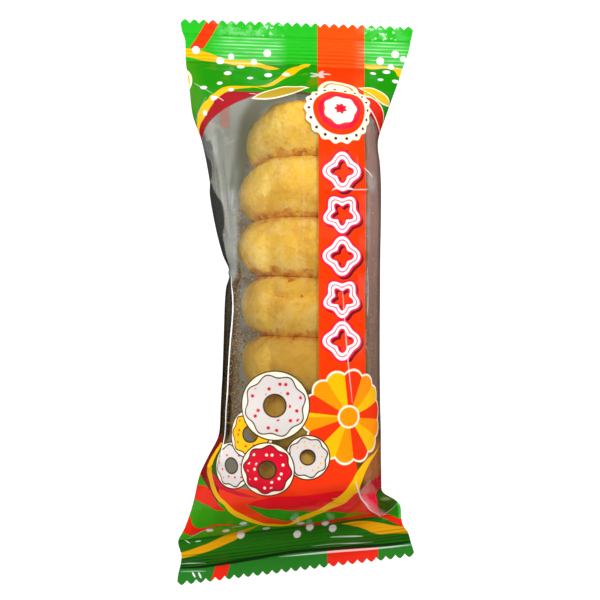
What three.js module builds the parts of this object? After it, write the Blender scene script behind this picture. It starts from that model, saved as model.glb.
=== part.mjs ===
// A sealed flow-wrap bag of ring doughnuts, lying on its back with its printed front up.
// The film is one tube that is crimped flat at both ends and cut there with a zigzag knife.
// Inside, a row of doughnuts stands on edge, so the bag is boxy along its body and
// closes to a flat seal over a steep shoulder at each end.
//
// Millimetres, +X to the bag's right, +Y to its top seal, +Z up out of its front.
// The origin is under the middle of the bag, on the surface that it lies on.

import * as THREE from "three";
import { mergeVertices } from "three/addons/utils/BufferGeometryUtils.js";

// The film tube
const FILM_THICKNESS = 0.8; // two plies at a seal, with the air that stays between them
const TOOTH_COUNT = 25; // zigzag teeth along each cut end
const TOOTH_DEPTH = 1.6;

// The end seals, measured along the bag's centre line
const TOP_TIP = 117;
const BOTTOM_TIP = -113.5;
const PLAIN_STRIP = 6; // from the cut to the first crimp line
const CRIMP_DEPTH = 12.5; // from there to where the film opens
const TOP_TILT = -0.034; // rise of the seal for each millimetre to the right
const BOTTOM_TILT = 0.123;
const SLANT_START = 70; // from the bag's middle, where its cross-lines begin to slant
const SEAL_HEIGHT = 20; // of the seals above the surface
const TOP_ROOT = TOP_TIP - PLAIN_STRIP - CRIMP_DEPTH;
const BOTTOM_ROOT = BOTTOM_TIP + PLAIN_STRIP + CRIMP_DEPTH;

// The body
const BODY_HEIGHT = 51;
const WIDEST_HEIGHT = 25; // where the sides reach out furthest
const ROW_START = -81.5; // of the row of seven doughnuts
const ROW_END = 82.8;
const JOINTS = [-59.5, -37, -13.3, 10.5, 34.6, 58.8]; // where two doughnuts touch
const SAG_LENGTH = 23.5; // of the film's sag over a joint, along the bag
const FILM_SAG = 0.9; // its depth
const UNDER_SINK = 1.6; // how far the round underside is pressed flat

// How a cross-section closes at its side: a slack fold at 0, the full body at 1
const FOLD_ROUNDNESS = 1.75;
const BODY_ROUNDNESS = 4.4;
const FOLD_BLUNTNESS = 0.95;
const BODY_BLUNTNESS = 0.5;

// Each outline is a list of [place along the bag, value]
const LEFT_EDGE = [
  [-119, -50],
  [-110, -50],
  [-101, -48.2],
  [-95, -49.8],
  [-90, -46.9],
  [-82, -43.2],
  [-72, -40.2],
  [-64, -36.4],
  [-56, -32.4],
  [-47, -31.4],
  [-12, -30.2],
  [5, -29.4],
  [12, -27.8],
  [19, -30.6],
  [32, -33.9],
  [44, -36.1],
  [50, -36.2],
  [67, -39.6],
  [77, -43.2],
  [87, -44.7],
  [99, -46.6],
  [108, -46.9],
  [112, -48.2],
  [119, -49],
];
const RIGHT_EDGE = [
  [-119, 50],
  [-113, 49.4],
  [-103, 46.9],
  [-99, 44.5],
  [-91, 43.6],
  [-87, 41.2],
  [-82, 36.2],
  [-77, 35.4],
  [-40, 34.8],
  [0, 34.6],
  [45, 35.2],
  [56, 34.8],
  [66, 33.9],
  [77, 37.2],
  [93, 42.6],
  [100, 44.9],
  [107, 47.3],
  [119, 49.4],
];
const LEFT_FULLNESS = [
  [-95, 0],
  [-76, 0.3],
  [-56, 1],
  [14, 1],
  [40, 0.7],
  [68, 0.42],
  [99, 0],
];
const RIGHT_FULLNESS = [
  [-95, 0],
  [-84, 0.3],
  [-70, 1],
  [60, 1],
  [80, 0.4],
  [99, 0],
];
const SHOULDER = [
  [-95, 0],
  [-82, 0.76],
  [-75, 0.97],
  [-67, 1],
  [68, 1],
  [76, 0.97],
  [84, 0.76],
  [99, 0],
];
const SPINE = [
  [-95, 0],
  [-60, 2.6],
  [60, 2.6],
  [99, 0],
];
// The lower seal is arched along its crimped band, with a groove beside the plain strip.
const SEAL_RISE = [
  [-113.5, 0.8],
  [-107.5, -1.2],
  [-101, 2.6],
  [-95, 0],
  [-88, 0],
  [92, 0],
  [99, 0],
  [105, 0.7],
  [111, -0.4],
  [117, 0.5],
];

// The flat tube that is bent into the bag: two columns of faces to a tooth
const COLUMNS = 2 * TOOTH_COUNT;
const SEAL_ROWS = 3;
const SHOULDER_ROWS = 6;
const BODY_ROWS = 28;
const PROFILE_STEPS = 120;
const MERGE_DISTANCE = 1e-5;

const lerp = THREE.MathUtils.lerp;

// The value at a place along an outline: a smooth curve through its points.
function along(outline, place) {
  const last = outline.length - 1;
  if (place <= outline[0][0]) return outline[0][1];
  if (place >= outline[last][0]) return outline[last][1];
  const i = outline.findIndex(([at]) => at > place) - 1;
  const slope = (k) => {
    const [a, b] = [outline[Math.max(k - 1, 0)], outline[Math.min(k + 1, last)]];
    return (b[1] - a[1]) / (b[0] - a[0]);
  };
  const [[a, from], [b, to]] = [outline[i], outline[i + 1]];
  const t = (place - a) / (b - a);
  return (
    from * (1 + 2 * t) * (1 - t) ** 2 +
    to * t * t * (3 - 2 * t) +
    (b - a) * t * (1 - t) * (slope(i) * (1 - t) - slope(i + 1) * t)
  );
}

// How far the film hangs between the two nearest doughnuts, 0 on a crest and 1 over a joint.
function gap(place) {
  const off = Math.min(...JOINTS.map((joint) => Math.abs(place - joint)));
  return off < SAG_LENGTH / 2 ? (1 + Math.cos((2 * Math.PI * off) / SAG_LENGTH)) / 2 : 0;
}

// The height of the folds at the film's sides, and of the whole film where it is flat.
function foldHeight(place) {
  const open = Math.max(along(SHOULDER, place), 0);
  return lerp(SEAL_HEIGHT, WIDEST_HEIGHT, open) + along(SEAL_RISE, place);
}

// One face of the film at a place along the bag: side is 1 for the front and -1 for the back.
// Returns the point that lies a share of the way from the left fold to the right one.
function section(place, side) {
  const spine = along(SPINE, place);
  const reach = [spine - along(LEFT_EDGE, place), along(RIGHT_EDGE, place) - spine];
  const fullness = [along(LEFT_FULLNESS, place), along(RIGHT_FULLNESS, place)];
  const shoulder = THREE.MathUtils.clamp(along(SHOULDER, place), 0, 1);
  const fold = foldHeight(place);
  const crest = BODY_HEIGHT - FILM_SAG * gap(place);
  const target = side > 0 ? crest : -UNDER_SINK;
  const lift = side > 0 ? target - WIDEST_HEIGHT : WIDEST_HEIGHT - target;
  const rise = lift * shoulder;
  const profile = [];
  for (let k = 0; k <= PROFILE_STEPS; k++) {
    const u = Math.sin(Math.PI * (k / PROFILE_STEPS - 0.5));
    const hand = u < 0 ? 0 : 1;
    const full = THREE.MathUtils.clamp(fullness[hand], 0, 1);
    const roundness = lerp(FOLD_ROUNDNESS, BODY_ROUNDNESS, full);
    const bluntness = lerp(FOLD_BLUNTNESS, BODY_BLUNTNESS, full);
    const share = Math.max(1 - Math.abs(u) ** roundness, 0) ** bluntness;
    const z = fold + side * (FILM_THICKNESS / 2 + rise * share);
    profile.push(new THREE.Vector2(spine + u * reach[hand], Math.max(z, 0)));
  }
  const lengths = [0];
  for (let k = 1; k < profile.length; k++) {
    lengths.push(lengths[k - 1] + profile[k].distanceTo(profile[k - 1]));
  }
  return (part) => {
    const wanted = part * lengths[PROFILE_STEPS];
    const k = Math.max(1, lengths.findIndex((length) => length >= wanted - MERGE_DISTANCE));
    const t = (wanted - lengths[k - 1]) / (lengths[k] - lengths[k - 1]);
    return profile[k - 1].clone().lerp(profile[k], THREE.MathUtils.clamp(t, 0, 1));
  };
}

// Places of the rows, from the bottom cut to the top one.
function rowPlaces() {
  const spread = (from, to, count) =>
    Array.from({ length: count }, (_, i) => lerp(from, to, i / count));
  const bodyStart = ROW_START + SAG_LENGTH / 4;
  const bodyEnd = ROW_END - SAG_LENGTH / 4;
  return [
    ...spread(BOTTOM_TIP, BOTTOM_TIP + PLAIN_STRIP, 1),
    ...spread(BOTTOM_TIP + PLAIN_STRIP, BOTTOM_ROOT, SEAL_ROWS),
    ...spread(BOTTOM_ROOT, bodyStart, SHOULDER_ROWS),
    ...spread(bodyStart, bodyEnd, BODY_ROWS),
    ...spread(bodyEnd, TOP_ROOT, SHOULDER_ROWS),
    ...spread(TOP_ROOT, TOP_TIP - PLAIN_STRIP, SEAL_ROWS),
    ...spread(TOP_TIP - PLAIN_STRIP, TOP_TIP, 1),
    TOP_TIP,
  ];
}

// The seals run at a slant, and the body square to the bag. This is the slant at a place.
function tilt(place) {
  const ease = THREE.MathUtils.smoothstep;
  const top = ease(place, SLANT_START, TOP_ROOT);
  const bottom = ease(-place, SLANT_START, -BOTTOM_ROOT);
  return TOP_TILT * top + BOTTOM_TILT * bottom;
}

// The flat tube, each of its points carried to its place on the filled bag.
function bagGeometry() {
  const places = rowPlaces();
  const rows = places.length - 1;
  const flat = new THREE.BoxGeometry(1, 1, 1, COLUMNS, rows, 1);
  flat.deleteAttribute("normal");
  flat.deleteAttribute("uv");
  const geometry = mergeVertices(flat, MERGE_DISTANCE);
  const position = geometry.attributes.position;
  const faces = [1, -1].map((side) => places.map((place) => section(place, side)));
  for (let i = 0; i < position.count; i++) {
    const column = Math.round((position.getX(i) + 0.5) * COLUMNS);
    const row = Math.round((position.getY(i) + 0.5) * rows);
    const side = position.getZ(i) > 0 ? 0 : 1;
    const point = faces[side][row](column / COLUMNS);
    const cut = row === 0 || row === rows;
    const notch = cut && column % 2 === 0 ? TOOTH_DEPTH : 0;
    const place = places[row] + (row === 0 ? notch : -notch);
    position.setXYZ(i, point.x, place + tilt(places[row]) * point.x, point.y);
  }
  geometry.computeBoundingBox();
  const middle = geometry.boundingBox.getCenter(new THREE.Vector3());
  geometry.translate(-middle.x, -middle.y, -geometry.boundingBox.min.z);
  geometry.computeVertexNormals();
  return geometry;
}

// Clear film over golden crust
const film = new THREE.MeshStandardMaterial({
  color: new THREE.Color(0.82, 0.6, 0.26),
  roughness: 0.22,
  metalness: 0,
});

const bag = new THREE.Mesh(bagGeometry(), film);
bag.name = "bag";

const pack = new THREE.Group();
pack.add(bag);

export default pack;
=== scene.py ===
"""A sealed flow-wrap bag of ring doughnuts, dressed for rendering.

The solid model gives one closed bag. Here it becomes what it stands for: a clear film tube
with printed ends and crimped zigzag seals, and the row of doughnuts inside it. Sizes are in
millimetres and are scaled to metres when a mesh is finished. The film's own map, in
millimetres of flat film, carries the print.
"""

from __future__ import annotations

import logging
import math
import random
from dataclasses import dataclass, field, replace
from enum import Enum
from typing import Iterable, Sequence

import bmesh
import bpy
import numpy as np
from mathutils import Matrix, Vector, noise

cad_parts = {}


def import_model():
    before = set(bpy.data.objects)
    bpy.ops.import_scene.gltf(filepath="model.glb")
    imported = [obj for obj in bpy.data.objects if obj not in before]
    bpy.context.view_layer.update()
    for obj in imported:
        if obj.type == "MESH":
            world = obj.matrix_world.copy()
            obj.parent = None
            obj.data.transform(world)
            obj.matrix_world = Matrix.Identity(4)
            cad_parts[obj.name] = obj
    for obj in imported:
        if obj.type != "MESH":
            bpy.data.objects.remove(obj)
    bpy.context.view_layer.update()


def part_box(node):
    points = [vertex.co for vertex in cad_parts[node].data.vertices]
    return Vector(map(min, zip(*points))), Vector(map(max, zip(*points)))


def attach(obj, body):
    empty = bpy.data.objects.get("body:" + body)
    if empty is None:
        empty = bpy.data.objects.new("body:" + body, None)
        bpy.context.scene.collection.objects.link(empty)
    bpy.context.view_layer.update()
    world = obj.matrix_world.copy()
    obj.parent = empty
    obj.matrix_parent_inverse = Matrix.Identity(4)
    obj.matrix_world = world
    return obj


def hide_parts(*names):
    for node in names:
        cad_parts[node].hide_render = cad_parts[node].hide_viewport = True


log = logging.getLogger("doughnut_pack")

MM = 0.001
BODY = "root"

Pair = tuple[float, float]
Triple = tuple[float, float, float]
Four = tuple[float, float, float, float]
Outline = Sequence[Pair]
Values = np.ndarray | float


def along(outline: Outline, place: Values) -> np.ndarray:
    """Read a smooth curve through an outline's points.

    Args:
        outline: Points of place along the bag and value, in order.
        place: Where to read it, in millimetres along the bag.

    Returns:
        The values there, level beyond the outline's ends.
    """
    at, value = np.array(outline, dtype=float).T
    slope = np.empty_like(value)
    slope[1:-1] = (value[2:] - value[:-2]) / (at[2:] - at[:-2])
    slope[0] = (value[1] - value[0]) / (at[1] - at[0])
    slope[-1] = (value[-1] - value[-2]) / (at[-1] - at[-2])
    x = np.clip(np.asarray(place, dtype=float), at[0], at[-1])
    i = np.clip(np.searchsorted(at, x, side="right") - 1, 0, len(at) - 2)
    step = at[i + 1] - at[i]
    t = (x - at[i]) / step
    return (
        value[i] * (1 + 2 * t) * (1 - t) ** 2
        + value[i + 1] * t * t * (3 - 2 * t)
        + step * t * (1 - t) * (slope[i] * (1 - t) - slope[i + 1] * t)
    )


def blend(low: Values, high: Values, share: Values) -> np.ndarray:
    """Mix two values linearly by a share from 0 to 1."""
    return low + (high - low) * share


def ease(value: Values, start: float, end: float) -> np.ndarray:
    """Rise smoothly from 0 at start to 1 at end."""
    t = np.clip((np.asarray(value, dtype=float) - start) / (end - start), 0, 1)
    return t * t * (3 - 2 * t)


class Side(Enum):
    """The two sheets of the film tube."""

    FRONT = 1
    BACK = -1


@dataclass
class FilmShape:
    """Where the film lies: the same sections as the solid bag's, with its finer relief.

    Attributes:
        shift: How far the model's frame lies from the one of these outlines.
    """

    shift: Vector = field(default_factory=Vector)

    top_tip: float = 117
    bottom_tip: float = -113.5
    plain_strip: float = 6
    crimp_depth: float = 12.5
    top_tilt: float = -0.034
    bottom_tilt: float = 0.123
    slant_start: float = 70
    seal_height: float = 20
    body_height: float = 51
    widest_height: float = 25
    row_start: float = -81.5
    row_end: float = 82.8
    joints: Sequence[float] = (-59.5, -37, -13.3, 10.5, 34.6, 58.8)
    sag_length: float = 23.5
    film_sag: float = 0.9
    under_sink: float = 1.6
    under_gap: float = 0.5
    seal_gap: float = 0.3
    fold_roundness: float = 1.75
    body_roundness: float = 4.4
    fold_bluntness: float = 0.95
    body_bluntness: float = 0.5
    tooth_count: int = 25
    tooth_depth: float = 1.6
    tooth_power: float = 1.5
    crimp_lines: int = 8
    crimp_relief: float = 0.5

    profile_steps: int = 260
    cut_steps: int = 120
    row_margin: float = 4
    strip_rows: int = 6
    crimp_rows: int = 40
    shoulder_rows: int = 32
    body_rows: int = 162

    left_edge: Outline = (
        (-119, -50), (-110, -50), (-101, -48.2), (-95, -49.8), (-90, -46.9), (-82, -43.2),
        (-72, -40.2), (-64, -36.4), (-56, -32.4), (-47, -31.4), (-12, -30.2), (5, -29.4),
        (12, -27.8), (19, -30.6), (32, -33.9), (44, -36.1), (50, -36.2), (67, -39.6), (77, -43.2),
        (87, -44.7), (99, -46.6), (108, -46.9), (112, -48.2), (119, -49),
    )
    right_edge: Outline = (
        (-119, 50), (-113, 49.4), (-103, 46.9), (-99, 44.5), (-91, 43.6), (-87, 41.2), (-82, 36.2),
        (-77, 35.4), (-40, 34.8), (0, 34.6), (45, 35.2), (56, 34.8), (66, 33.9), (77, 37.2),
        (93, 42.6), (100, 44.9), (107, 47.3), (119, 49.4),
    )
    left_fullness: Outline = (
        (-95, 0), (-76, 0.3), (-56, 1), (14, 1), (40, 0.7), (68, 0.42), (99, 0),
    )
    right_fullness: Outline = ((-95, 0), (-84, 0.3), (-70, 1), (60, 1), (80, 0.4), (99, 0))
    shoulder: Outline = (
        (-95, 0), (-82, 0.76), (-75, 0.97), (-67, 1), (68, 1), (76, 0.97), (84, 0.76), (99, 0),
    )
    spine: Outline = ((-95, 0), (-60, 2.6), (60, 2.6), (99, 0))
    seal_rise: Outline = (
        (-113.5, 0.8), (-107.5, -1.2), (-101, 2.6), (-95, 0), (-88, 0),
        (92, 0), (99, 0), (105, 0.7), (111, -0.4), (117, 0.5),
    )

    @property
    def bottom_root(self) -> float:
        """Where the lower seal ends and the film opens."""
        return self.bottom_tip + self.plain_strip + self.crimp_depth

    @property
    def top_root(self) -> float:
        """Where the upper seal ends and the film opens."""
        return self.top_tip - self.plain_strip - self.crimp_depth

    def tilt(self, place: Values) -> np.ndarray:
        """Give the slant of the film's cross-lines at a place along the bag."""
        top = ease(place, self.slant_start, self.top_root)
        bottom = ease(-np.asarray(place), self.slant_start, -self.bottom_root)
        return self.top_tilt * top + self.bottom_tilt * bottom

    def gap(self, place: float) -> float:
        """Say how near a place is to a joint between doughnuts: 1 in it, 0 on a crown."""
        off = min(abs(place - joint) for joint in self.joints)
        if off >= self.sag_length / 2:
            return 0.0
        return (1 + math.cos(2 * math.pi * off / self.sag_length)) / 2

    def crimp(self, place: float) -> float:
        """Give the height of the crimped relief at a place along the bag."""
        inside = max(
            min(place - self.top_root, self.top_tip - self.plain_strip - place),
            min(self.bottom_root - place, place - self.bottom_tip - self.plain_strip),
        )
        if inside <= 0:
            return 0.0
        pitch = self.crimp_depth / self.crimp_lines
        return -self.crimp_relief * (0.5 + 0.5 * math.cos(2 * math.pi * inside / pitch))

    def rows(self) -> np.ndarray:
        """List the places of the mesh's rows, closest together in the crimped bands."""
        start, end = self.row_start + self.row_margin, self.row_end - self.row_margin
        low_cut, high_cut = self.bottom_tip + self.plain_strip, self.top_tip - self.plain_strip
        spans = (
            (self.bottom_tip, low_cut, self.strip_rows),
            (low_cut, self.bottom_root, self.crimp_rows),
            (self.bottom_root, start, self.shoulder_rows),
            (start, end, self.body_rows),
            (end, self.top_root, self.shoulder_rows),
            (self.top_root, high_cut, self.crimp_rows),
            (high_cut, self.top_tip, self.strip_rows),
        )
        pieces = [np.linspace(*span, endpoint=False) for span in spans]
        return np.append(np.concatenate(pieces), self.top_tip)

    def section(self, place: float, side: Side, parts: np.ndarray) -> np.ndarray:
        """Trace one sheet across the bag.

        Args:
            place: Where along the bag, in millimetres.
            side: Which sheet.
            parts: Shares of the way from the left fold to the right one.

        Returns:
            An array of across, height and film length from the middle line, one row a part.
        """
        outlines = (
            self.spine, self.left_edge, self.right_edge, self.left_fullness, self.right_fullness,
            self.shoulder, self.seal_rise,
        )
        spine, left, right, left_full, right_full, shoulder, lift = (
            float(along(outline, place)) for outline in outlines
        )
        reach, full = (spine - left, right - spine), (left_full, right_full)
        shoulder = min(max(shoulder, 0), 1)
        fold = blend(self.seal_height, self.widest_height, shoulder) + lift
        crest = self.body_height - self.film_sag * self.gap(place)
        target = crest if side is Side.FRONT else -self.under_sink
        rise = side.value * (target - self.widest_height) * shoulder
        u = np.sin(np.pi * (np.arange(self.profile_steps + 1) / self.profile_steps - 0.5))
        hand = (u >= 0).astype(int)
        fullness = np.clip(np.array(full)[hand], 0, 1)
        roundness = blend(self.fold_roundness, self.body_roundness, fullness)
        bluntness = blend(self.fold_bluntness, self.body_bluntness, fullness)
        share = np.maximum(1 - np.abs(u) ** roundness, 0) ** bluntness
        ply = self.seal_gap / 2 * np.sqrt(np.maximum(1 - u * u, 0))
        x = spine + u * np.array(reach)[hand]
        z = np.maximum(fold + side.value * (ply + rise * share), self.under_gap)
        length = np.concatenate([[0], np.cumsum(np.hypot(np.diff(x), np.diff(z)))])
        wanted = parts * length[-1]
        flat = wanted - np.interp(0.0, x, length)
        return np.stack([np.interp(wanted, length, x), np.interp(wanted, length, z), flat], axis=1)

    def cut(self, place: float, side: Side) -> tuple[np.ndarray, np.ndarray]:
        """Cut across one sheet, as places across the bag and their heights."""
        section = self.section(place, side, np.linspace(0, 1, self.cut_steps + 1))
        return section[:, 0], section[:, 1]

    def sheet(self, side: Side, columns: int) -> tuple[np.ndarray, np.ndarray]:
        """Lay out one whole sheet.

        Args:
            side: Which sheet.
            columns: How many faces the sheet is wide.

        Returns:
            Points as an array of rows by columns by 3, and their place on the flat film.
        """
        rows = self.rows()
        parts = np.linspace(0, 1, columns + 1)
        cut = np.array([self.section(place, side, parts) for place in rows])
        centre = np.array([self.section(place, Side.FRONT, np.array([0.5]))[0] for place in rows])
        travel = np.hypot(np.diff(rows), np.diff(centre[:, 1]))
        v = np.concatenate([[0], np.cumsum(travel)])
        v -= np.interp(0.0, rows, v)
        place = rows[:, None] + np.zeros(columns + 1)[None, :]
        place = self.notch(place, parts)
        x = cut[:, :, 0]
        y = place + self.tilt(rows)[:, None] * x
        z = cut[:, :, 1] + np.array([self.crimp(row) for row in rows])[:, None]
        z = z + along(self.seal_rise, place) - along(self.seal_rise, rows)[:, None]
        points = np.stack([x, y, z], axis=2)
        film = np.stack([cut[:, :, 2], v[:, None] + place - rows[:, None]], axis=2)
        return points, film

    def notch(self, place: np.ndarray, parts: np.ndarray) -> np.ndarray:
        """Cut the zigzag into the two tips, with round crowns and sharp valleys."""
        phase = np.abs((parts * self.tooth_count) % 1 - 0.5) * 2
        depth = self.tooth_depth * phase[None, :] ** self.tooth_power
        low = np.clip((self.bottom_tip + self.plain_strip - place) / self.plain_strip, 0, 1)
        high = np.clip((place - self.top_tip + self.plain_strip) / self.plain_strip, 0, 1)
        return place + depth * low - depth * high


@dataclass(frozen=True)
class Fold:
    """A crease in the front sheet: a ridge along a line on the flat film.

    Attributes:
        points: The line, as places across and along the flat film.
        height: How far the ridge stands out, or lies in where it is negative.
    """

    points: Outline
    height: float
    width: float
    power: float = 1.5

    def relief(self, film: np.ndarray) -> np.ndarray:
        """Give the height of the ridge at places on the flat film."""
        nearest = np.full(film.shape[:2], np.inf)
        for start, end in zip(np.array(self.points[:-1]), np.array(self.points[1:])):
            run = end - start
            share = np.clip(((film - start) @ run) / (run @ run), 0, 1)
            off = film - start - share[..., None] * run
            nearest = np.minimum(nearest, np.linalg.norm(off, axis=2))
        return self.height * np.exp(-((nearest / self.width) ** self.power))


WING_CREASE: Outline = (
    (-32.4, -65), (-31.7, -55), (-31.3, -46), (-29.6, -36), (-28.9, -28), (-27.9, -17), (-27.1, -8),
    (-27.1, -1), (-28.9, 6.5), (-34.5, 11), (-43.9, 12.2),
)
PANEL_CREASE: Outline = ((29.2, 14), (29.8, 6), (30, -4), (29.4, -16))
CORNER_CREASE: Outline = (
    (23.4, -71.5), (25.1, -76), (28.4, -86.4), (31, -100.3), (33.8, -108.1), (35.5, -112.5),
)
EAR_CREASE: Outline = ((35.9, -112.1), (39.1, -106.4), (42.8, -100.3))


@dataclass
class FilmRelief:
    """The creases, puckers and slack of the front sheet.

    Attributes:
        pucker: Depth of the pleats beside the seals.
        slack: Depth of its gentle waves.
        pleat_grain: How often the pleats come, across and along the film.
        drape_grain: The same of the waves.
        end_zone: How far from a seal the pleats begin to fade, and where they end.
        seal_zone: How far into the seal and into the body the relief fades out.
        side_zone: The share of the film's width over which it fades at a side.
    """

    folds: Sequence[Fold] = (
        Fold(WING_CREASE, 1.1, 1.6),
        Fold(((-37, 66), (-34, 52), (-30, 36), (-30, 22)), -0.9, 4.0),
        Fold(((-24, 60), (-27, 48), (-27.5, 36)), 0.5, 1.6),
        Fold(((-20.5, 62), (-22.5, 50), (-24, 38)), -0.35, 1.3),
        Fold(((-31, 56), (-30, 46), (-29, 38)), 0.4, 1.2),
        Fold(((-44, 93), (-39.6, 90.9), (-36.8, 84.3), (-31, 79)), 0.7, 1.1),
        Fold(((-50, 78), (-45.4, 77.9), (-41, 83)), 0.6, 1.0),
        Fold(((12, 44.5), (18.6, 44.2), (25.7, 44.4), (34, 45)), 0.45, 0.9),
        Fold(((25, 55), (28, 52.8), (33, 50)), 0.4, 0.9),
        Fold(PANEL_CREASE, 0.5, 1.0),
        Fold(((21.5, -8), (22.3, -36)), 0.3, 0.9),
        Fold(CORNER_CREASE, 1.1, 1.4),
        Fold(EAR_CREASE, 0.9, 1.2),
        Fold(((0.7, -76.7), (18.2, -84.9)), 0.4, 1.6),
        Fold(((-49, -109), (-44, -112.5), (-39, -110.5)), 0.5, 1.0),
        Fold(((-14, 99), (-4, 104), (6, 109)), -0.7, 3.0),
        Fold(((-40, 108), (-28, 106), (-16, 109)), 0.5, 2.6),
    )
    pucker: float = 0.32
    slack: float = 0.3
    pleat_grain: Pair = (0.17, 0.035)
    drape_grain: Pair = (0.05, 0.04)
    end_zone: Pair = (8, 26)
    seal_zone: Pair = (-1, 6)
    side_zone: float = 0.05
    seed: float = 4.7

    def lift(self, shape: FilmShape, points: np.ndarray, film: np.ndarray) -> np.ndarray:
        """Move a sheet's points out along its normals.

        Args:
            shape: The smooth film.
            points: The sheet's points, rows by columns by 3.
            film: Their places on the flat film.

        Returns:
            The moved points.
        """
        height = sum(fold.relief(film) for fold in self.folds)
        parts = np.linspace(0, 1, points.shape[1])
        rows = shape.rows()
        from_seal = np.minimum(rows - shape.bottom_root, shape.top_root - rows)
        open_film = ease(from_seal, *self.seal_zone)
        near_end = 1 - ease(from_seal, *self.end_zone)
        for i in range(points.shape[0]):
            for j in range(points.shape[1]):
                pleat = self.wave(film[i, j], self.pleat_grain, self.seed)
                drape = self.wave(film[i, j], self.drape_grain, self.seed + 9)
                height[i, j] += self.pucker * 2 * pleat * near_end[i] + self.slack * 2 * drape
        fade = ease(np.minimum(parts, 1 - parts), 0, self.side_zone)[None, :] * open_film[:, None]
        normal = np.cross(np.gradient(points, axis=1), np.gradient(points, axis=0))
        normal /= np.maximum(np.linalg.norm(normal, axis=2, keepdims=True), 1e-9)
        return points + normal * (height * fade)[..., None]

    @staticmethod
    def wave(spot: np.ndarray, grain: Pair, seed: float) -> float:
        """Read a noise about 0 at a place on the flat film."""
        return noise.noise(Vector((spot[0] * grain[0], spot[1] * grain[1], seed)))


def shade_by_angle(mesh: bpy.types.Mesh, degrees: float) -> None:
    """Shade a mesh smooth, with its edges sharper than an angle left sharp."""
    mesh.shade_smooth()
    mesh.set_sharp_from_angle(angle=math.radians(degrees))


def finish_mesh(
    bm: bmesh.types.BMesh, name: str, materials: Iterable[bpy.types.Material],
) -> bpy.types.Object:
    """Scale a mesh to metres and make it an object at the origin.

    Args:
        bm: The mesh in millimetres. It is freed.
        name: The new object's name.
        materials: Its materials, in slot order.

    Returns:
        The object, linked to the scene.
    """
    bmesh.ops.scale(bm, vec=(MM, MM, MM), verts=bm.verts)
    mesh = bpy.data.meshes.new(name)
    bm.to_mesh(mesh)
    bm.free()
    for material in materials:
        mesh.materials.append(material)
    piece = bpy.data.objects.new(name, mesh)
    bpy.context.scene.collection.objects.link(piece)
    return piece


@dataclass
class FilmTube:
    """The film tube of the bag, as one closed surface of a front and a back sheet."""

    shape: FilmShape
    relief: FilmRelief = field(default_factory=FilmRelief)
    columns: int = 150
    seam_gap: float = 0.01
    sharp_angle: float = 60
    film_map: str = "film"

    def build(self, materials: Sequence[bpy.types.Material]) -> bpy.types.Object:
        """Make the film.

        Args:
            materials: The front sheet's finish and the back sheet's.

        Returns:
            The film's object.
        """
        rows = len(self.shape.rows()) - 1
        bm = bmesh.new()
        bmesh.ops.create_grid(bm, x_segments=self.columns, y_segments=rows, size=0.5)
        front = list(bm.verts)
        front_faces = list(bm.faces)
        copy = bmesh.ops.duplicate(bm, geom=front + front_faces)
        back = [item for item in copy["geom"] if isinstance(item, bmesh.types.BMVert)]
        back_faces = [item for item in copy["geom"] if isinstance(item, bmesh.types.BMFace)]
        bmesh.ops.reverse_faces(bm, faces=back_faces)
        film_uv = bm.loops.layers.uv.new(self.film_map)
        for side, verts, faces in ((Side.FRONT, front, front_faces), (Side.BACK, back, back_faces)):
            points, film = self.shape.sheet(side, self.columns)
            if side is Side.FRONT:
                points = self.relief.lift(self.shape, points, film)
            spot = {}
            for vert in verts:
                i = round((vert.co.y + 0.5) * rows)
                j = round((vert.co.x + 0.5) * self.columns)
                vert.co = Vector(points[i, j]) + self.shape.shift
                spot[vert] = film[i, j]
            slot = 0 if side is Side.FRONT else 1
            for face in faces:
                face.material_index = slot
                for loop in face.loops:
                    loop[film_uv].uv = spot[loop.vert]
        bmesh.ops.remove_doubles(bm, verts=bm.verts, dist=self.seam_gap)
        piece = finish_mesh(bm, "film", materials)
        shade_by_angle(piece.data, self.sharp_angle)
        return piece


@dataclass(frozen=True)
class Joint:
    """The plane in which two doughnuts touch.

    Attributes:
        place: Along the bag, where the joint shows from above.
        lean: Degrees that its top leans towards the bag's upper end.
        slant: Its rise for each millimetre to the right.
        squeeze: How far the doughnuts' round ends are pressed into each other there.
        height: Where it shows, above the floor.
        above: How wide the browned rim above it is, where 1 is even.
        below: The same, below it.
    """

    place: float
    lean: float = 0
    slant: float = 0
    squeeze: float = 0.4
    height: float = 42
    above: float = 1.08
    below: float = 0.95

    def at(self, x: float, z: float) -> float:
        """Give its place along the bag at a point."""
        return self.place + (z - self.height) * math.tan(math.radians(self.lean)) + self.slant * x


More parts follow.
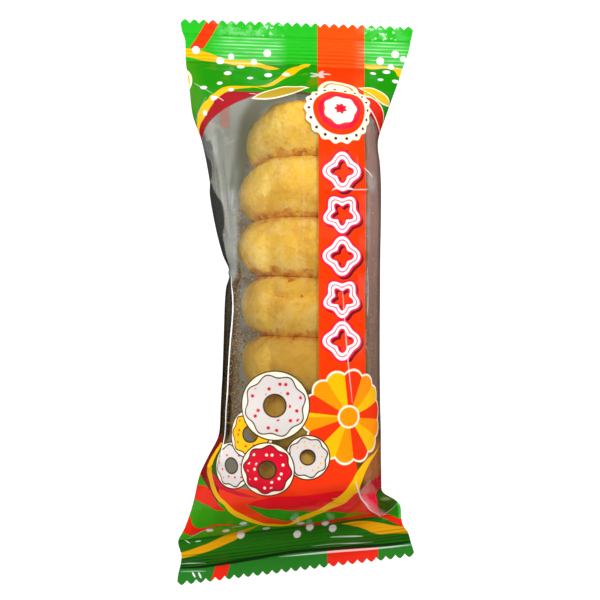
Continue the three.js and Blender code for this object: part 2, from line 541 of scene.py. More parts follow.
@dataclass
class Ring:
    """One ring doughnut, stood on edge and pressed between two joints.

    Attributes:
        across: Its middle across the bag.
        crease: Whether a shallow crease runs over its crown.
        shade_depth: How much darker than golden it is, painted shade.
        seed: What sets its unevenness apart from the others'.
        press: How flat its faces are pressed, from 1 for round.
        press_power: How sharply they turn into its rim.
        squeeze: How far it is pressed into its neighbours.
        side_zone: Where along the ring, as a sine, it changes to the round, free ends.
        end_zone: How far from its middle the browned rim evens out.
        end_rim: How wide the browned rim is at the ends.
        swells: Unevenness, as pairs of how often and how high.
        lip: The same of the wavy edge beside a joint.
        sink: How far the surface lies in, to leave room for the swells.
    """

    name: str
    low: Joint
    high: Joint
    across: float
    width: float = 50
    crease: bool = False
    shade_depth: float = 0
    seed: int = 0

    tall: float = 49.4
    middle_height: float = 25.4
    hole: float = 13
    turns: int = 150
    around: int = 108
    press: float = 1.34
    press_power: float = 6
    squeeze: float = 0.75
    side_zone: Pair = (0.5, 0.97)
    end_zone: Pair = (15, 24)
    end_rim: float = 0.97

    swells: Sequence[Pair] = ((0.07, 0.7), (0.17, 0.4), (0.45, 0.2), (1.1, 0.1))
    lip: Pair = (0.3, 0.7)
    sink: float = 0.45
    free_zone: Pair = (0.93, 1)
    lip_zone: Pair = (0.4, 0.85)

    crease_depth: float = 1.7
    crease_left: float = 7
    crease_drop: float = 8.2
    crease_bend: float = 0.0175
    crease_ends: Pair = (8, 15)
    crease_slopes: Pair = (1, 2.6)
    crease_brown_and_shade: float = 0.6

    joint_map: str = "joint"
    shade_map: str = "shade_depth"

    def build(self) -> bmesh.types.BMesh:
        """Make the doughnut's mesh, in millimetres."""
        inner = self.hole / 2
        tube = (self.tall / 2 - inner) / 2
        bm = bmesh.new()
        loop = []
        for k in range(self.around):
            angle = 2 * math.pi * k / self.around
            out = inner + tube + tube * math.cos(angle)
            loop.append(bm.verts.new((0, self.press * math.sin(angle), out)))
        edges = [bm.edges.new((loop[k - 1], loop[k])) for k in range(self.around)]
        bmesh.ops.spin(
            bm, geom=loop + edges, cent=(0, 0, 0), axis=(0, 1, 0), dvec=(0, 0, 0),
            angle=2 * math.pi, steps=self.turns, use_merge=True, use_duplicate=False,
        )
        joint = bm.verts.layers.float.new(self.joint_map)
        shade_depth = bm.verts.layers.float.new(self.shade_map)
        for vert in bm.verts:
            vert[shade_depth] = self.shade_depth
            pressed = self.pressed(vert.co.y) / self.pressed(self.press)
            side = float(ease(abs(vert.co.x) / math.hypot(vert.co.x, vert.co.z), *self.side_zone))
            share = float(blend(pressed, vert.co.y / self.press, side))
            x = self.across + vert.co.x * self.width / self.tall
            z = self.middle_height + vert.co.z
            low, high = self.low.at(x, z), self.high.at(x, z)
            middle, half = (low + high) / 2, (high - low) / 2
            loose = (self.high if share > 0 else self.low).squeeze
            reach = share * (half + float(blend(self.squeeze, loose, side)))
            vert[joint] = abs(reach) / half
            vert.co = Vector((x, middle + max(min(reach, half), -half), z))
        bmesh.ops.recalc_face_normals(bm, faces=bm.faces)
        self.roughen(bm, joint)
        for vert in bm.verts:
            x, y, z = vert.co
            middle = (self.low.at(x, z) + self.high.at(x, z)) / 2
            rim = self.low.above if y < middle else self.high.below
            even = ease(abs(x - self.across), *self.end_zone)
            vert[joint] *= float(blend(rim, self.end_rim, even))
        return bm

    def pressed(self, place: float) -> float:
        """Level off a place along the bag towards 1, as a face that is pressed flat."""
        return place / (1 + abs(place) ** self.press_power) ** (1 / self.press_power)

    def roughen(self, bm: bmesh.types.BMesh, joint: bmesh.types.BMLayerItem) -> None:
        """Push the surface in and out, as a fried crust is uneven."""
        bm.normal_update()
        moved = []
        for vert in bm.verts:
            spot = vert.co + Vector((37.0 * self.seed, 0, 11.0 * self.seed))
            free = 1 - float(ease(vert[joint], *self.free_zone))
            swell = sum(high * noise.noise(spot * often) for often, high in self.swells)
            often, high = self.lip
            wave = noise.noise(Vector((spot.x * often, self.seed, spot.z * often)))
            lip = float(ease(vert[joint], *self.lip_zone)) * high * wave
            height = (swell + lip - self.sink) * free
            if self.crease and vert.co.z > self.middle_height:
                groove = self.groove(vert.co)
                height -= groove
                # The crease browns the crust, partly as a frying seam's colour and partly as
                # painted shade in it.
                vert[joint] = max(vert[joint], groove * self.crease_brown_and_shade)
            moved.append(vert.co + vert.normal * height)
        for vert, place in zip(bm.verts, moved):
            vert.co = place

    def groove(self, place: Vector) -> float:
        """Give the depth of the crease over the crown."""
        x = place.x - self.across + self.crease_left
        rise = place.y - (self.high.place - self.crease_drop + self.crease_bend * x * x)
        ends = 1 - float(ease(abs(x), *self.crease_ends))
        return ends * self.crease_depth * math.exp(-((rise / self.crease_slopes[rise > 0]) ** 2))


@dataclass
class DoughnutRow:
    """The row of doughnuts, from the bag's upper end down."""

    joints: Sequence[Joint] = (
        Joint(79, 14), Joint(57.2, 10.5, 0.01, 0.8, above=1.04), Joint(33.4, 3, squeeze=0.9),
        Joint(9.6, 1, -0.065, 0.3), Joint(-14.4, 2, -0.04, 0.25, above=1.04, below=1.02),
        Joint(-37, -2), Joint(-59.5), Joint(-81, -3),
    )
    across: Sequence[float] = (4.7, 3.4, 3.4, 4.1, 4.2, 4.6, 4.3)
    widths: Sequence[float] = (51.6, 55.5, 55.6, 54.1, 54.2, 53.4, 52.8)
    # How much painted shade darkens each doughnut, more towards the bag's lower end.
    shade_depths: Sequence[float] = (0, 0, 0.08, 0.22, 0.6, 0.7, 0.75)
    creased: int = 3

    clearance: float = 0.6
    low_film: float = 34
    half_row: int = 96

    def press_under(self, bm: bmesh.types.BMesh, shape: FilmShape) -> None:
        """Press a doughnut down where it would reach through the front sheet."""
        places = range(-self.half_row, self.half_row)
        cuts = [shape.cut(float(place), Side.FRONT) for place in places]
        for vert in bm.verts:
            x, y, z = vert.co
            if z < self.low_film:
                continue
            slant = float(shape.tilt(y)) * x if abs(y) > shape.slant_start else 0
            cut = cuts[min(max(round(y - slant) + self.half_row, 0), len(cuts) - 1)]
            vert.co.z = min(z, float(np.interp(x, *cut)) - self.clearance)

    def build(self, material: bpy.types.Material, shape: FilmShape) -> list[bpy.types.Object]:
        """Make every doughnut.

        Args:
            material: The crust's finish.
            shape: The film that they lie in.

        Returns:
            The doughnuts' objects.
        """
        pieces = []
        for k, (high, low) in enumerate(zip(self.joints[:-1], self.joints[1:])):
            ring = Ring(
                f"doughnut_{k + 1}", low, high, self.across[k], self.widths[k],
                crease=k == self.creased, seed=k + 1, shade_depth=self.shade_depths[k],
            )
            bm = ring.build()
            self.press_under(bm, shape)
            bmesh.ops.translate(bm, vec=shape.shift, verts=bm.verts)
            piece = finish_mesh(bm, ring.name, [material])
            piece.data.shade_smooth()
            pieces.append(piece)
        return pieces


@dataclass
class BackFin:
    """The fin seal along the back: the tube's own seam, folded flat to one side."""

    shape: FilmShape
    width: float = 11
    gap: float = 0.22
    lowest: float = 0.14
    thickness: float = 0.1
    columns: int = 8
    sheet_columns: int = 150
    end_rows: int = 16
    sharp_angle: float = 40
    film_map: str = "film"
    tint: Four = (0.9, 0.9, 0.88, 1)
    edge_tint: Four = (0.8, 0.8, 0.8, 1)

    def build(self, material: bpy.types.Material) -> bpy.types.Object:
        """Make the fin with its finish."""
        points, film = self.shape.sheet(Side.BACK, self.sheet_columns)
        keep = slice(self.end_rows, points.shape[0] - self.end_rows, 2)
        points, film = points[keep], film[keep]
        rows = points.shape[0] - 1
        bm = bmesh.new()
        bmesh.ops.create_grid(bm, x_segments=self.columns, y_segments=rows, size=0.5)
        film_uv = bm.loops.layers.uv.new(self.film_map)
        spot = {}
        for vert in bm.verts:
            i = round((vert.co.y + 0.5) * rows)
            x = (vert.co.x + 0.5) * self.width
            y, z = (float(np.interp(x, points[i, :, 0], points[i, :, k])) for k in (1, 2))
            vert.co = Vector((x, y, max(z - self.gap, self.lowest))) + self.shape.shift
            spot[vert] = (x, float(film[i, self.sheet_columns // 2, 1]))
        for face in bm.faces:
            for loop in face.loops:
                loop[film_uv].uv = spot[loop.vert]
        bmesh.ops.solidify(bm, geom=bm.faces, thickness=self.thickness)
        bmesh.ops.recalc_face_normals(bm, faces=bm.faces)
        piece = finish_mesh(bm, "back_fin", [material])
        shade_by_angle(piece.data, self.sharp_angle)
        return piece


@dataclass
class Crumbs:
    """Bits of crust that lie in the film beside the row.

    Attributes:
        size: The smallest one's radius, and how much more the largest has.
        lift: How high above the film their middles lie, in radii.
        scatter: The least and the most that they lie above that.
        uneven: How much their corners differ.
    """

    shape: FilmShape
    count: int = 130
    size: Pair = (0.28, 0.55)
    left: Pair = (-27, -22)
    right: Pair = (27.5, 31)
    length: Pair = (-62, 44)
    mostly_left: float = 0.75
    lift: float = 1.9
    scatter: Pair = (0.3, 0.8)
    uneven: float = 0.5
    seed: int = 11

    def build(self, material: bpy.types.Material) -> bpy.types.Object:
        """Make the crumbs as one piece."""
        draw = random.Random(self.seed)
        bm = bmesh.new()
        for _ in range(self.count):
            size = self.size[0] + self.size[1] * draw.random() ** 2
            x = draw.uniform(*(self.left if draw.random() < self.mostly_left else self.right))
            y = draw.uniform(*self.length)
            film = float(np.interp(x, *self.shape.cut(y, Side.BACK)))
            z = film + size * self.lift + self.scatter[0] + draw.uniform(0, self.scatter[1])
            made = bmesh.ops.create_icosphere(bm, subdivisions=1, radius=size)
            for vert in made["verts"]:
                vert.co *= 1 + self.uneven * (draw.random() - 0.5)
            bmesh.ops.translate(bm, vec=Vector((x, y, z)) + self.shape.shift, verts=made["verts"])
        return finish_mesh(bm, "crumbs", [material])


def linear(red: float, green: float, blue: float) -> Four:
    """Turn a display colour, 0 to 255 a channel, into the renderer's linear one."""
    parts = [c / 255 for c in (red, green, blue)]
    return (*(c / 12.92 if c <= 0.04045 else ((c + 0.055) / 1.055) ** 2.4 for c in parts), 1.0)


class Ink(Enum):
    """The print's inks, as display colours."""

    GREEN = (26, 140, 6)
    BRIGHT = (38, 184, 34)
    MEADOW = (62, 142, 10)
    DEEP = (32, 100, 14)
    BASE = (38, 118, 32)
    LEAF = (48, 140, 12)
    YELLOW = (252, 186, 8)
    ORANGE = (255, 54, 4)
    FLAME = (250, 78, 12)
    RED = (226, 36, 14)
    CRIMSON = (206, 16, 44)
    ROSE = (255, 18, 62)
    SCARLET = (240, 52, 12)
    MAROON = (128, 22, 24)
    WINE = (104, 18, 36)
    CREAM = (255, 240, 214)
    GOLD = (184, 152, 36)
    MOSS = (50, 82, 14)
    SHADE = (18, 48, 14)
    WHITE = (252, 244, 246)
    PEARL = (214, 206, 202)
    AMBER = (255, 146, 6)
    OUTLINE = (58, 30, 26)
    MINT = (110, 214, 104)
    KHAKI = (150, 150, 96)
    TAUPE = (174, 136, 128)
    BROWN = (162, 136, 112)
    SLATE = (112, 88, 92)
    UMBER = (72, 72, 46)
    RUST = (158, 92, 74)
    CLAY = (192, 112, 62)
    GAP_SHADE = (84, 64, 44)
    STRAW = (196, 172, 132)
    BRICK = (162, 6, 26)
    CHERRY = (228, 14, 30)
    HONEY = (214, 150, 4)
    FERN = (54, 142, 14)

    @property
    def colour(self) -> Four:
        """The ink as a linear colour."""
        return linear(*self.value)


class Wire:
    """A value in a shader, so that shader maths reads as Python expressions."""

    def __init__(self, bench: Bench, socket: bpy.types.NodeSocket) -> None:
        """Wrap a node's output."""
        self.bench = bench
        self.socket = socket

    def maths(self, operation: str, *others: Wire | float, clamp: bool = False) -> Wire:
        """Add a Math node with this value first."""
        settings = {"operation": operation, "use_clamp": clamp}
        return self.bench.node("ShaderNodeMath", settings, dict(enumerate((self, *others))))

    def __add__(self, other: Wire | float) -> Wire:
        """Add."""
        return self.maths("ADD", other)

    __radd__ = __add__

    def __mul__(self, other: Wire | float) -> Wire:
        """Multiply."""
        return self.maths("MULTIPLY", other)

    __rmul__ = __mul__

    def __sub__(self, other: Wire | float) -> Wire:
        """Subtract."""
        return self.maths("SUBTRACT", other)

    def __rsub__(self, other: float) -> Wire:
        """Subtract from a number."""
        return self.bench.node("ShaderNodeMath", {"operation": "SUBTRACT"}, {0: other, 1: self})

    def __truediv__(self, other: Wire | float) -> Wire:
        """Divide."""
        return self.maths("DIVIDE", other)

    def __pow__(self, other: float) -> Wire:
        """Raise to a power."""
        return self.maths("POWER", other)

    def __abs__(self) -> Wire:
        """Drop the sign."""
        return self.maths("ABSOLUTE")

    def low(self, other: Wire | float) -> Wire:
        """Take the lower of two values."""
        return self.maths("MINIMUM", other)

    def high(self, other: Wire | float) -> Wire:
        """Take the higher of two values."""
        return self.maths("MAXIMUM", other)

    def cosine(self) -> Wire:
        """Take the cosine."""
        return self.maths("COSINE")

    def inside(self, soft: float) -> Wire:
        """Turn a distance from an edge, negative inside it, into a mask with a soft edge."""
        return self.maths("MULTIPLY_ADD", -1 / soft, 0.5, clamp=True)

    def rising(self, start: float, end: float) -> Wire:
        """Go smoothly from 0 at start to 1 at end."""
        inputs = {0: self, 1: start, 2: end, 3: 0.0, 4: 1.0}
        return self.bench.node("ShaderNodeMapRange", {"interpolation_type": "SMOOTHSTEP"}, inputs)

    def falling(self, start: float, end: float) -> Wire:
        """Go smoothly from 1 at start to 0 at end."""
        return 1 - self.rising(start, end)

    def within(self, start: float, full: float, fading: float, end: float) -> Wire:
        """Go smoothly from 0 at start to 1 at full, and from 1 at fading back to 0 at end."""
        return self.rising(start, full) * self.falling(fading, end)


class Bench:
    """One material's node tree, filled a node at a time."""

    def __init__(self, name: str) -> None:
        """Start an empty material."""
        self.material = bpy.data.materials.new(name)
        self.material.use_nodes = True
        self.tree = self.material.node_tree
        self.tree.nodes.clear()

    def node(
        self, kind: str, settings: dict | None = None, inputs: dict | None = None, output: int = 0,
    ) -> Wire:
        """Add a node.

        Args:
            kind: Its type, such as ShaderNodeMath.
            settings: Its own properties, of which "points" are those of a curve.
            inputs: Values or wires by the socket's name or index.
            output: Which output to hand back.

        Returns:
            The output.
        """
        made = self.tree.nodes.new(kind)
        for key, value in (settings or {}).items():
            if key == "points":
                self.set_curve(made, value)
            else:
                setattr(made, key, value)
        for key, value in (inputs or {}).items():
            if isinstance(value, Wire):
                self.tree.links.new(value.socket, made.inputs[key])
            else:
                made.inputs[key].default_value = value
        return Wire(self, made.outputs[output])

    @staticmethod
    def set_curve(made: bpy.types.Node, points: Outline) -> None:
        """Put points on a Float Curve node."""
        curve = made.mapping.curves[0]
        while len(curve.points) > 2:
            curve.points.remove(curve.points[-1])
        for k, (x, y) in enumerate(points):
            if k < 2:
                curve.points[k].location = (x, y)
            else:
                curve.points.new(x, y)
        made.mapping.update()

    def split(self, vector: Wire) -> tuple[Wire, Wire]:
        """Take a vector's first two parts."""
        first = self.node("ShaderNodeSeparateXYZ", {}, {0: vector})
        return first, Wire(self, first.socket.node.outputs[1])

    def mix(self, mask: Wire | float, below: Wire | Ink | Four, above: Wire | Ink | Four) -> Wire:
        """Lay one colour over another by a mask."""
        below, above = (tint.colour if isinstance(tint, Ink) else tint for tint in (below, above))
        inputs = {0: mask, 6: below, 7: above}
        return self.node("ShaderNodeMix", {"data_type": "RGBA"}, inputs, output=2)

    def vector(
        self, operation: str, first: Wire | Triple, second: Wire | Triple, output: int = 0,
    ) -> Wire:
        """Add a Vector Math node."""
        inputs = {0: first, 1: second}
        return self.node("ShaderNodeVectorMath", {"operation": operation}, inputs, output)

    def mix_shaders(self, mask: Wire | float, first: Wire, second: Wire) -> Wire:
        """Mix two shaders by a mask."""
        return self.node("ShaderNodeMixShader", {}, {0: mask, 1: first, 2: second})

    def noise(self, where: Wire, scale: float, detail: float = 2, roughness: float = 0.5) -> Wire:
        """Read a noise from 0 to 1."""
        inputs = {"Vector": where, "Scale": scale, "Detail": detail, "Roughness": roughness}
        return self.node("ShaderNodeTexNoise", {}, inputs)

    def bump(self, height: Wire, strength: float, distance: float) -> Wire:
        """Turn a height into a normal."""
        inputs = {"Height": height, "Strength": strength, "Distance": distance}
        return self.node("ShaderNodeBump", {}, inputs)

    def attribute(self, name: str) -> Wire:
        """Read a number that the mesh gives at each point."""
        return self.node("ShaderNodeAttribute", {"attribute_name": name}, output=2)

    def paint(self, colour: Wire | tuple, roughness: float, **others: object) -> Wire:
        """Make a plain surface."""
        inputs = {"Base Color": colour, "Roughness": roughness, **others}
        return self.node("ShaderNodeBsdfPrincipled", {}, inputs)

    def finish(self, shader: Wire) -> bpy.types.Material:
        """Send the whole surface's shader to the output, and give the material."""
        out = self.tree.nodes.new("ShaderNodeOutputMaterial")
        self.tree.links.new(shader.socket, out.inputs["Surface"])
        return self.material


class FlatFilm:
    """The flat film as the printer sees it: millimetres across from the middle, and along.

    Attributes:
        WIDTH: A range that all places across fit in.
        LENGTH: The same for places along.
        EDGE: How soft a printed edge is.
        TIP: The share of a streak's taper over which it fades.
    """

    WIDTH = 120.0
    LENGTH = 280.0
    EDGE = 0.3
    TIP = 0.3

    def __init__(self, bench: Bench, film_map: str) -> None:
        """Read the UV map that holds flat millimetres."""
        self.bench = bench
        self.spot = bench.node("ShaderNodeUVMap", {"uv_map": film_map})
        self.across, self.along = bench.split(self.spot)

    def border(self, points: Outline, middle: float | None = None) -> Wire:
        """Read how far along the film a printed border lies.

        Args:
            points: The border, as places across and along the film.
            middle: The line about which the border is the same on both sides, if it is.

        Returns:
            The border's place, everywhere across the film.
        """
        across = self.across if middle is None else abs(self.across - middle)
        return self.curve(points, across, self.WIDTH, self.LENGTH)

    def curve(self, points: Outline, run: Wire, size: float, reach: float) -> Wire:
        """Read a smooth curve at a place, from points within a range of places and of values."""
        scaled = [(a / size + 0.5, b / reach + 0.5) for a, b in points]
        read = self.bench.node("ShaderNodeFloatCurve", {"points": scaled}, {1: run / size + 0.5})
        return (read - 0.5) * reach

    def band(self, upper: Outline, lower: Outline, middle: float | None = None) -> Wire:
        """Mask what lies between two borders."""
        under = self.along - self.border(upper, middle)
        over = self.border(lower, middle) - self.along
        return under.high(over).inside(self.EDGE)

    def above(self, points: Outline, middle: float | None = None) -> Wire:
        """Mask what lies above a border."""
        return (self.border(points, middle) - self.along).inside(self.EDGE)

    def below(self, points: Outline, middle: float | None = None) -> Wire:
        """Mask what lies below a border."""
        return (self.along - self.border(points, middle)).inside(self.EDGE)

    def between(self, left: float, right: float) -> Wire:
        """Mask what lies between two lines along the film."""
        return (abs(self.across - (left + right) / 2) - (right - left) / 2).inside(self.EDGE)

    def past(self, v: float) -> Wire:
        """Mask what lies above a line across the film."""
        return (v - self.along).inside(self.EDGE)

    def short_of(self, v: float) -> Wire:
        """Mask what lies below a line across the film."""
        return (self.along - v).inside(self.EDGE)

    def slanted(self, s: float, v: float, lean: float, width: float) -> Wire:
        """Mask a stripe through a point, leaning right by a share of its rise."""
        middle = (self.along - v) * lean + s
        return (abs(self.across - middle) - width / 2).inside(self.EDGE)

    def distance(self, s: float, v: float) -> Wire:
        """Measure the distance from a point."""
        return self.bench.vector("DISTANCE", self.spot, (s, v, 0), output=1)

    def angle(self, s: float, v: float) -> Wire:
        """Measure the angle about a point."""
        return (self.along - v).maths("ARCTAN2", self.across - s)

    def streak(self, points: Outline, width: float) -> Wire:
        """Mask a thin line that tapers to both its ends from its width at the middle."""
        rise = abs(points[-1][1] - points[0][1])
        lengthwise = rise > abs(points[-1][0] - points[0][0])
        run, off = (self.along, self.across) if lengthwise else (self.across, self.along)
        size, reach = (self.LENGTH, self.WIDTH) if lengthwise else (self.WIDTH, self.LENGTH)
        way = sorted((v, s) if lengthwise else (s, v) for s, v in points)
        middle, half = (way[0][0] + way[-1][0]) / 2, (way[-1][0] - way[0][0]) / 2
        share = (run - middle) * (1 / half)
        taper = (1 - share * share).high(0) ** 0.5
        gap = abs(off - self.curve(way, run, size, reach)) - taper * (width / 2)
        return gap.inside(self.EDGE) * taper.rising(0, self.TIP)

    def left_of(self, points: Outline, soft: float) -> Wire:
        """Mask what lies left of a line that runs along the film, with a soft edge."""
        way = sorted((v, s) for s, v in points)
        return (self.across - self.curve(way, self.along, self.LENGTH, self.WIDTH)).inside(soft)

    def disc(self, s: float, v: float, radius: float) -> Wire:
        """Mask a disc."""
        return (self.distance(s, v) - radius).inside(self.EDGE)

    def dots(self, centres: Sequence[Pair], radius: float) -> Wire:
        """Mask round dots of one size."""
        nearest = self.distance(*centres[0])
        for centre in centres[1:]:
            nearest = nearest.low(self.distance(*centre))
        return (nearest - radius).inside(self.EDGE)


class Layers:
    """Inks laid over one another on clear film."""

    def __init__(self, film: FlatFilm) -> None:
        """Start with bare film."""
        self.film = film
        self.bench = film.bench
        self.colour: Wire | tuple = Ink.GREEN.colour
        self.cover: Wire | float = 0.0

    def lay(self, mask: Wire, ink: Ink | Wire, strength: float = 1) -> None:
        """Print an ink.

        Args:
            mask: Where it goes.
            ink: The ink, or a colour that varies.
            strength: How much of what lies under it it hides.
        """
        self.colour = self.bench.mix(mask, self.colour, ink)
        self.cover = (mask * strength).high(self.cover)

    def fill(self, edge: Wire, ink: Ink | Wire) -> None:
        """Print an ink inside an edge, given the distance from it, which is negative inside."""
        self.lay(edge.inside(self.film.EDGE), ink)

    def veil(self, mask: Wire, ink: Ink) -> None:
        """Lay a dull tone over the film, by how much of what lies under it it hides."""
        share = mask / (mask + self.cover).high(0.001)
        self.colour = self.bench.mix(share.low(1), self.colour, ink)
        self.cover = mask.high(self.cover)

    def spare(self, mask: Wire) -> None:
        """Leave the film clear where a mask is."""
        self.cover = (1 - mask) * self.cover


@dataclass(frozen=True)
class Streak:
    """A thin bright line where a crease in the film catches the light.

    Attributes:
        strength: How much of the film under it it hides, up to 1.
    """

    points: Outline
    width: float = 0.45
    strength: float = 0.7


@dataclass(frozen=True)
class CreaseLights:
    """The bright lines of the front sheet's creases."""

    lines: Sequence[Streak] = (
        Streak(WING_CREASE[:10], 0.95, 1.0),
        Streak(((-44.5, 97), (-40.3, 91.6), (-36, 87.3)), 0.5, 0.6),
        Streak(((-34.6, 85.4), (-30.8, 81.9)), 0.5, 0.75),
        Streak(((-51.7, 74.2), (-44.3, 79.8), (-39.6, 85.9)), 0.5, 0.45),
        Streak(((-19.4, 85.5), (-15.6, 84.4)), 0.35, 0.7),
        Streak(((14, 43.8), (16, 44.8), (18.2, 44.1), (20.6, 44.7), (23, 44.2)), 0.9, 0.7),
        Streak(((20, 44.3), (25.7, 44.4), (30, 44.8)), 0.4, 0.5),
        Streak(((27.6, 53.2), (32.9, 49.8)), 0.55, 0.75),
        Streak(((18.4, 4), (19.8, -15.7), (20.8, -27.4), (22.4, -41)), 0.4, 0.45),
        Streak(((2.7, 72), (2.9, 40), (3.2, 4)), 0.5, 0.06),
        Streak(((29.2, 14), (30.2, 5), (30, 0), (29.6, -6)), 0.4, 0.5),
        Streak(CORNER_CREASE, 0.9, 0.85),
        Streak(EAR_CREASE, 0.6, 0.35),
        Streak(((-47.3, -111.4), (-44.7, -113.6)), 0.5, 0.6),
        Streak(((-42.6, -113), (-40.2, -113)), 0.5, 0.55),
        Streak(((-46, -111), (-41, -106.6), (-36.9, -102.8)), 0.35, 0.45),
        Streak(((-27.2, -103.8), (-19.6, -102.9)), 0.4, 0.5),
        Streak(((-49, -122.8), (-44, -123.3), (-38, -124.3)), 0.5, 0.55),
        Streak(((-49, -126.9), (-44, -127.3), (-38, -128)), 0.4, 0.35),
        Streak(((-43.9, -127.6), (-42.6, -130.2)), 0.8, 0.85),
        Streak(((-41.3, -128), (-40.1, -130.8)), 0.8, 0.85),
        Streak(((14, -118.2), (18, -118.5), (23, -119), (28, -119.6)), 0.6, 0.5),
        Streak(((6, -121.8), (16, -122.1), (24, -123.2), (32.5, -124.1)), 0.6, 0.45),
        Streak(((-8, -125.7), (16, -126.4), (34, -127.2), (49, -127.5)), 0.8, 0.55),
        Streak(((24.5, 58), (24.8, 49)), 0.3, 0.15),
    )

    def mask(self, film: FlatFilm) -> Wire:
        """Mask all of the lines, each by its strength."""
        lit: Wire | float = 0.0
        for line in self.lines:
            lit = (film.streak(line.points, line.width) * line.strength).high(lit)
        return lit


@dataclass(frozen=True)
class FoldShade:
    """Painted shade on the film left of a line, where it turns down at a fold: a dark tint over
    what shows through.

    Attributes:
        dark: How dark it is, up to 1.
        soft: How soft its edge is.
    """

    edge: Outline
    start: float
    end: float
    dark: float = 1
    soft: float = 0.9

    def mask(self, film: FlatFilm) -> Wire:
        """Give how dark the painted shade makes the film."""
        fold = film.left_of(self.edge, self.soft) * film.past(self.start) * film.short_of(self.end)
        return fold * self.dark


@dataclass(frozen=True)
class Wing:
    """The slack film left of the row: milky, with painted sheen in fine stripes on its pleats and
    painted shade in dark folds at its edge.

    Attributes:
        reach: Where along the film the milk and its painted sheen fade in and out.
        fan: Where the painted sheen's stripes spread from.
        low_sheen: Where the painted sheen gets stronger, down the film.
        haze: Where the haze over the doughnuts fades in, from the right and from below.
    """

    right: Outline = (
        (-16, 86), (-21, 75.5), (-23.1, 68.4), (-24, 60), (-23.4, 50), (-25.1, 40.4), (-24.6, 32.6),
        (-25.4, 24.6), (-26, 16), (-27.6, 8),
    )
    right_soft: float = 3.0
    folds: Sequence[FoldShade] = (
        FoldShade(
            ((-50, 64), (-45.2, 59.3), (-41.6, 56), (-41.9, 52.9), (-47, 49.5)), 49.5, 64, 0.85,
        ),
        FoldShade((
            (-44, 48.6), (-36.8, 42.3), (-33.6, 39.1), (-32.6, 34.7), (-33.9, 29.7), (-35.5, 26.8),
            (-35.7, 21), (-39, 13),
        ), 13, 48.6),
        FoldShade(WING_CREASE, -64, 12.5, 0.6, 0.6),
    )
    reach: Four = (5, 12, 72, 90)
    fan: Pair = (-30, 24)
    fan_reach: Four = (30, 40, 48, 56)
    sheen_stripes: float = 46
    grain: float = 0.16
    low_sheen: Pair = (19, 32)
    upper_fade: Pair = (56, 72)
    haze: tuple[Pair, Pair] = ((-26, -4), (-40, 20))

    def milk_and_sheen(self, film: FlatFilm) -> Wire:
        """Give how milky the slack film is, with painted sheen in fanned stripes and stronger lower
        down.
        """
        sheet = film.left_of(self.right, self.right_soft) * film.along.within(*self.reach)
        sheet = sheet * (1 - self.dark(film)) * (1 - film.along.rising(*self.upper_fade) * 0.3)
        # Painted sheen in stripes that fan out over the pleats.
        fan = (film.angle(*self.fan) * self.sheen_stripes).cosine() * 0.5 + 0.5
        fan = fan * film.along.within(*self.fan_reach)
        patches = film.bench.noise(film.spot, self.grain, 2)
        low = film.along.falling(*self.low_sheen)
        return sheet * (patches * 0.15 + fan * 0.12 + low * 0.22 + 0.13)

    def dark(self, film: FlatFilm) -> Wire:
        """Mask the painted shade of the dark folds along the outline."""
        return sum(fold.mask(film) for fold in self.folds)

    def veil(self, film: FlatFilm) -> Wire:
        """Give the thin haze over the left ends of the doughnuts."""
        across, along_film = self.haze
        return film.across.falling(*across) * film.along.rising(*along_film) * 0.05


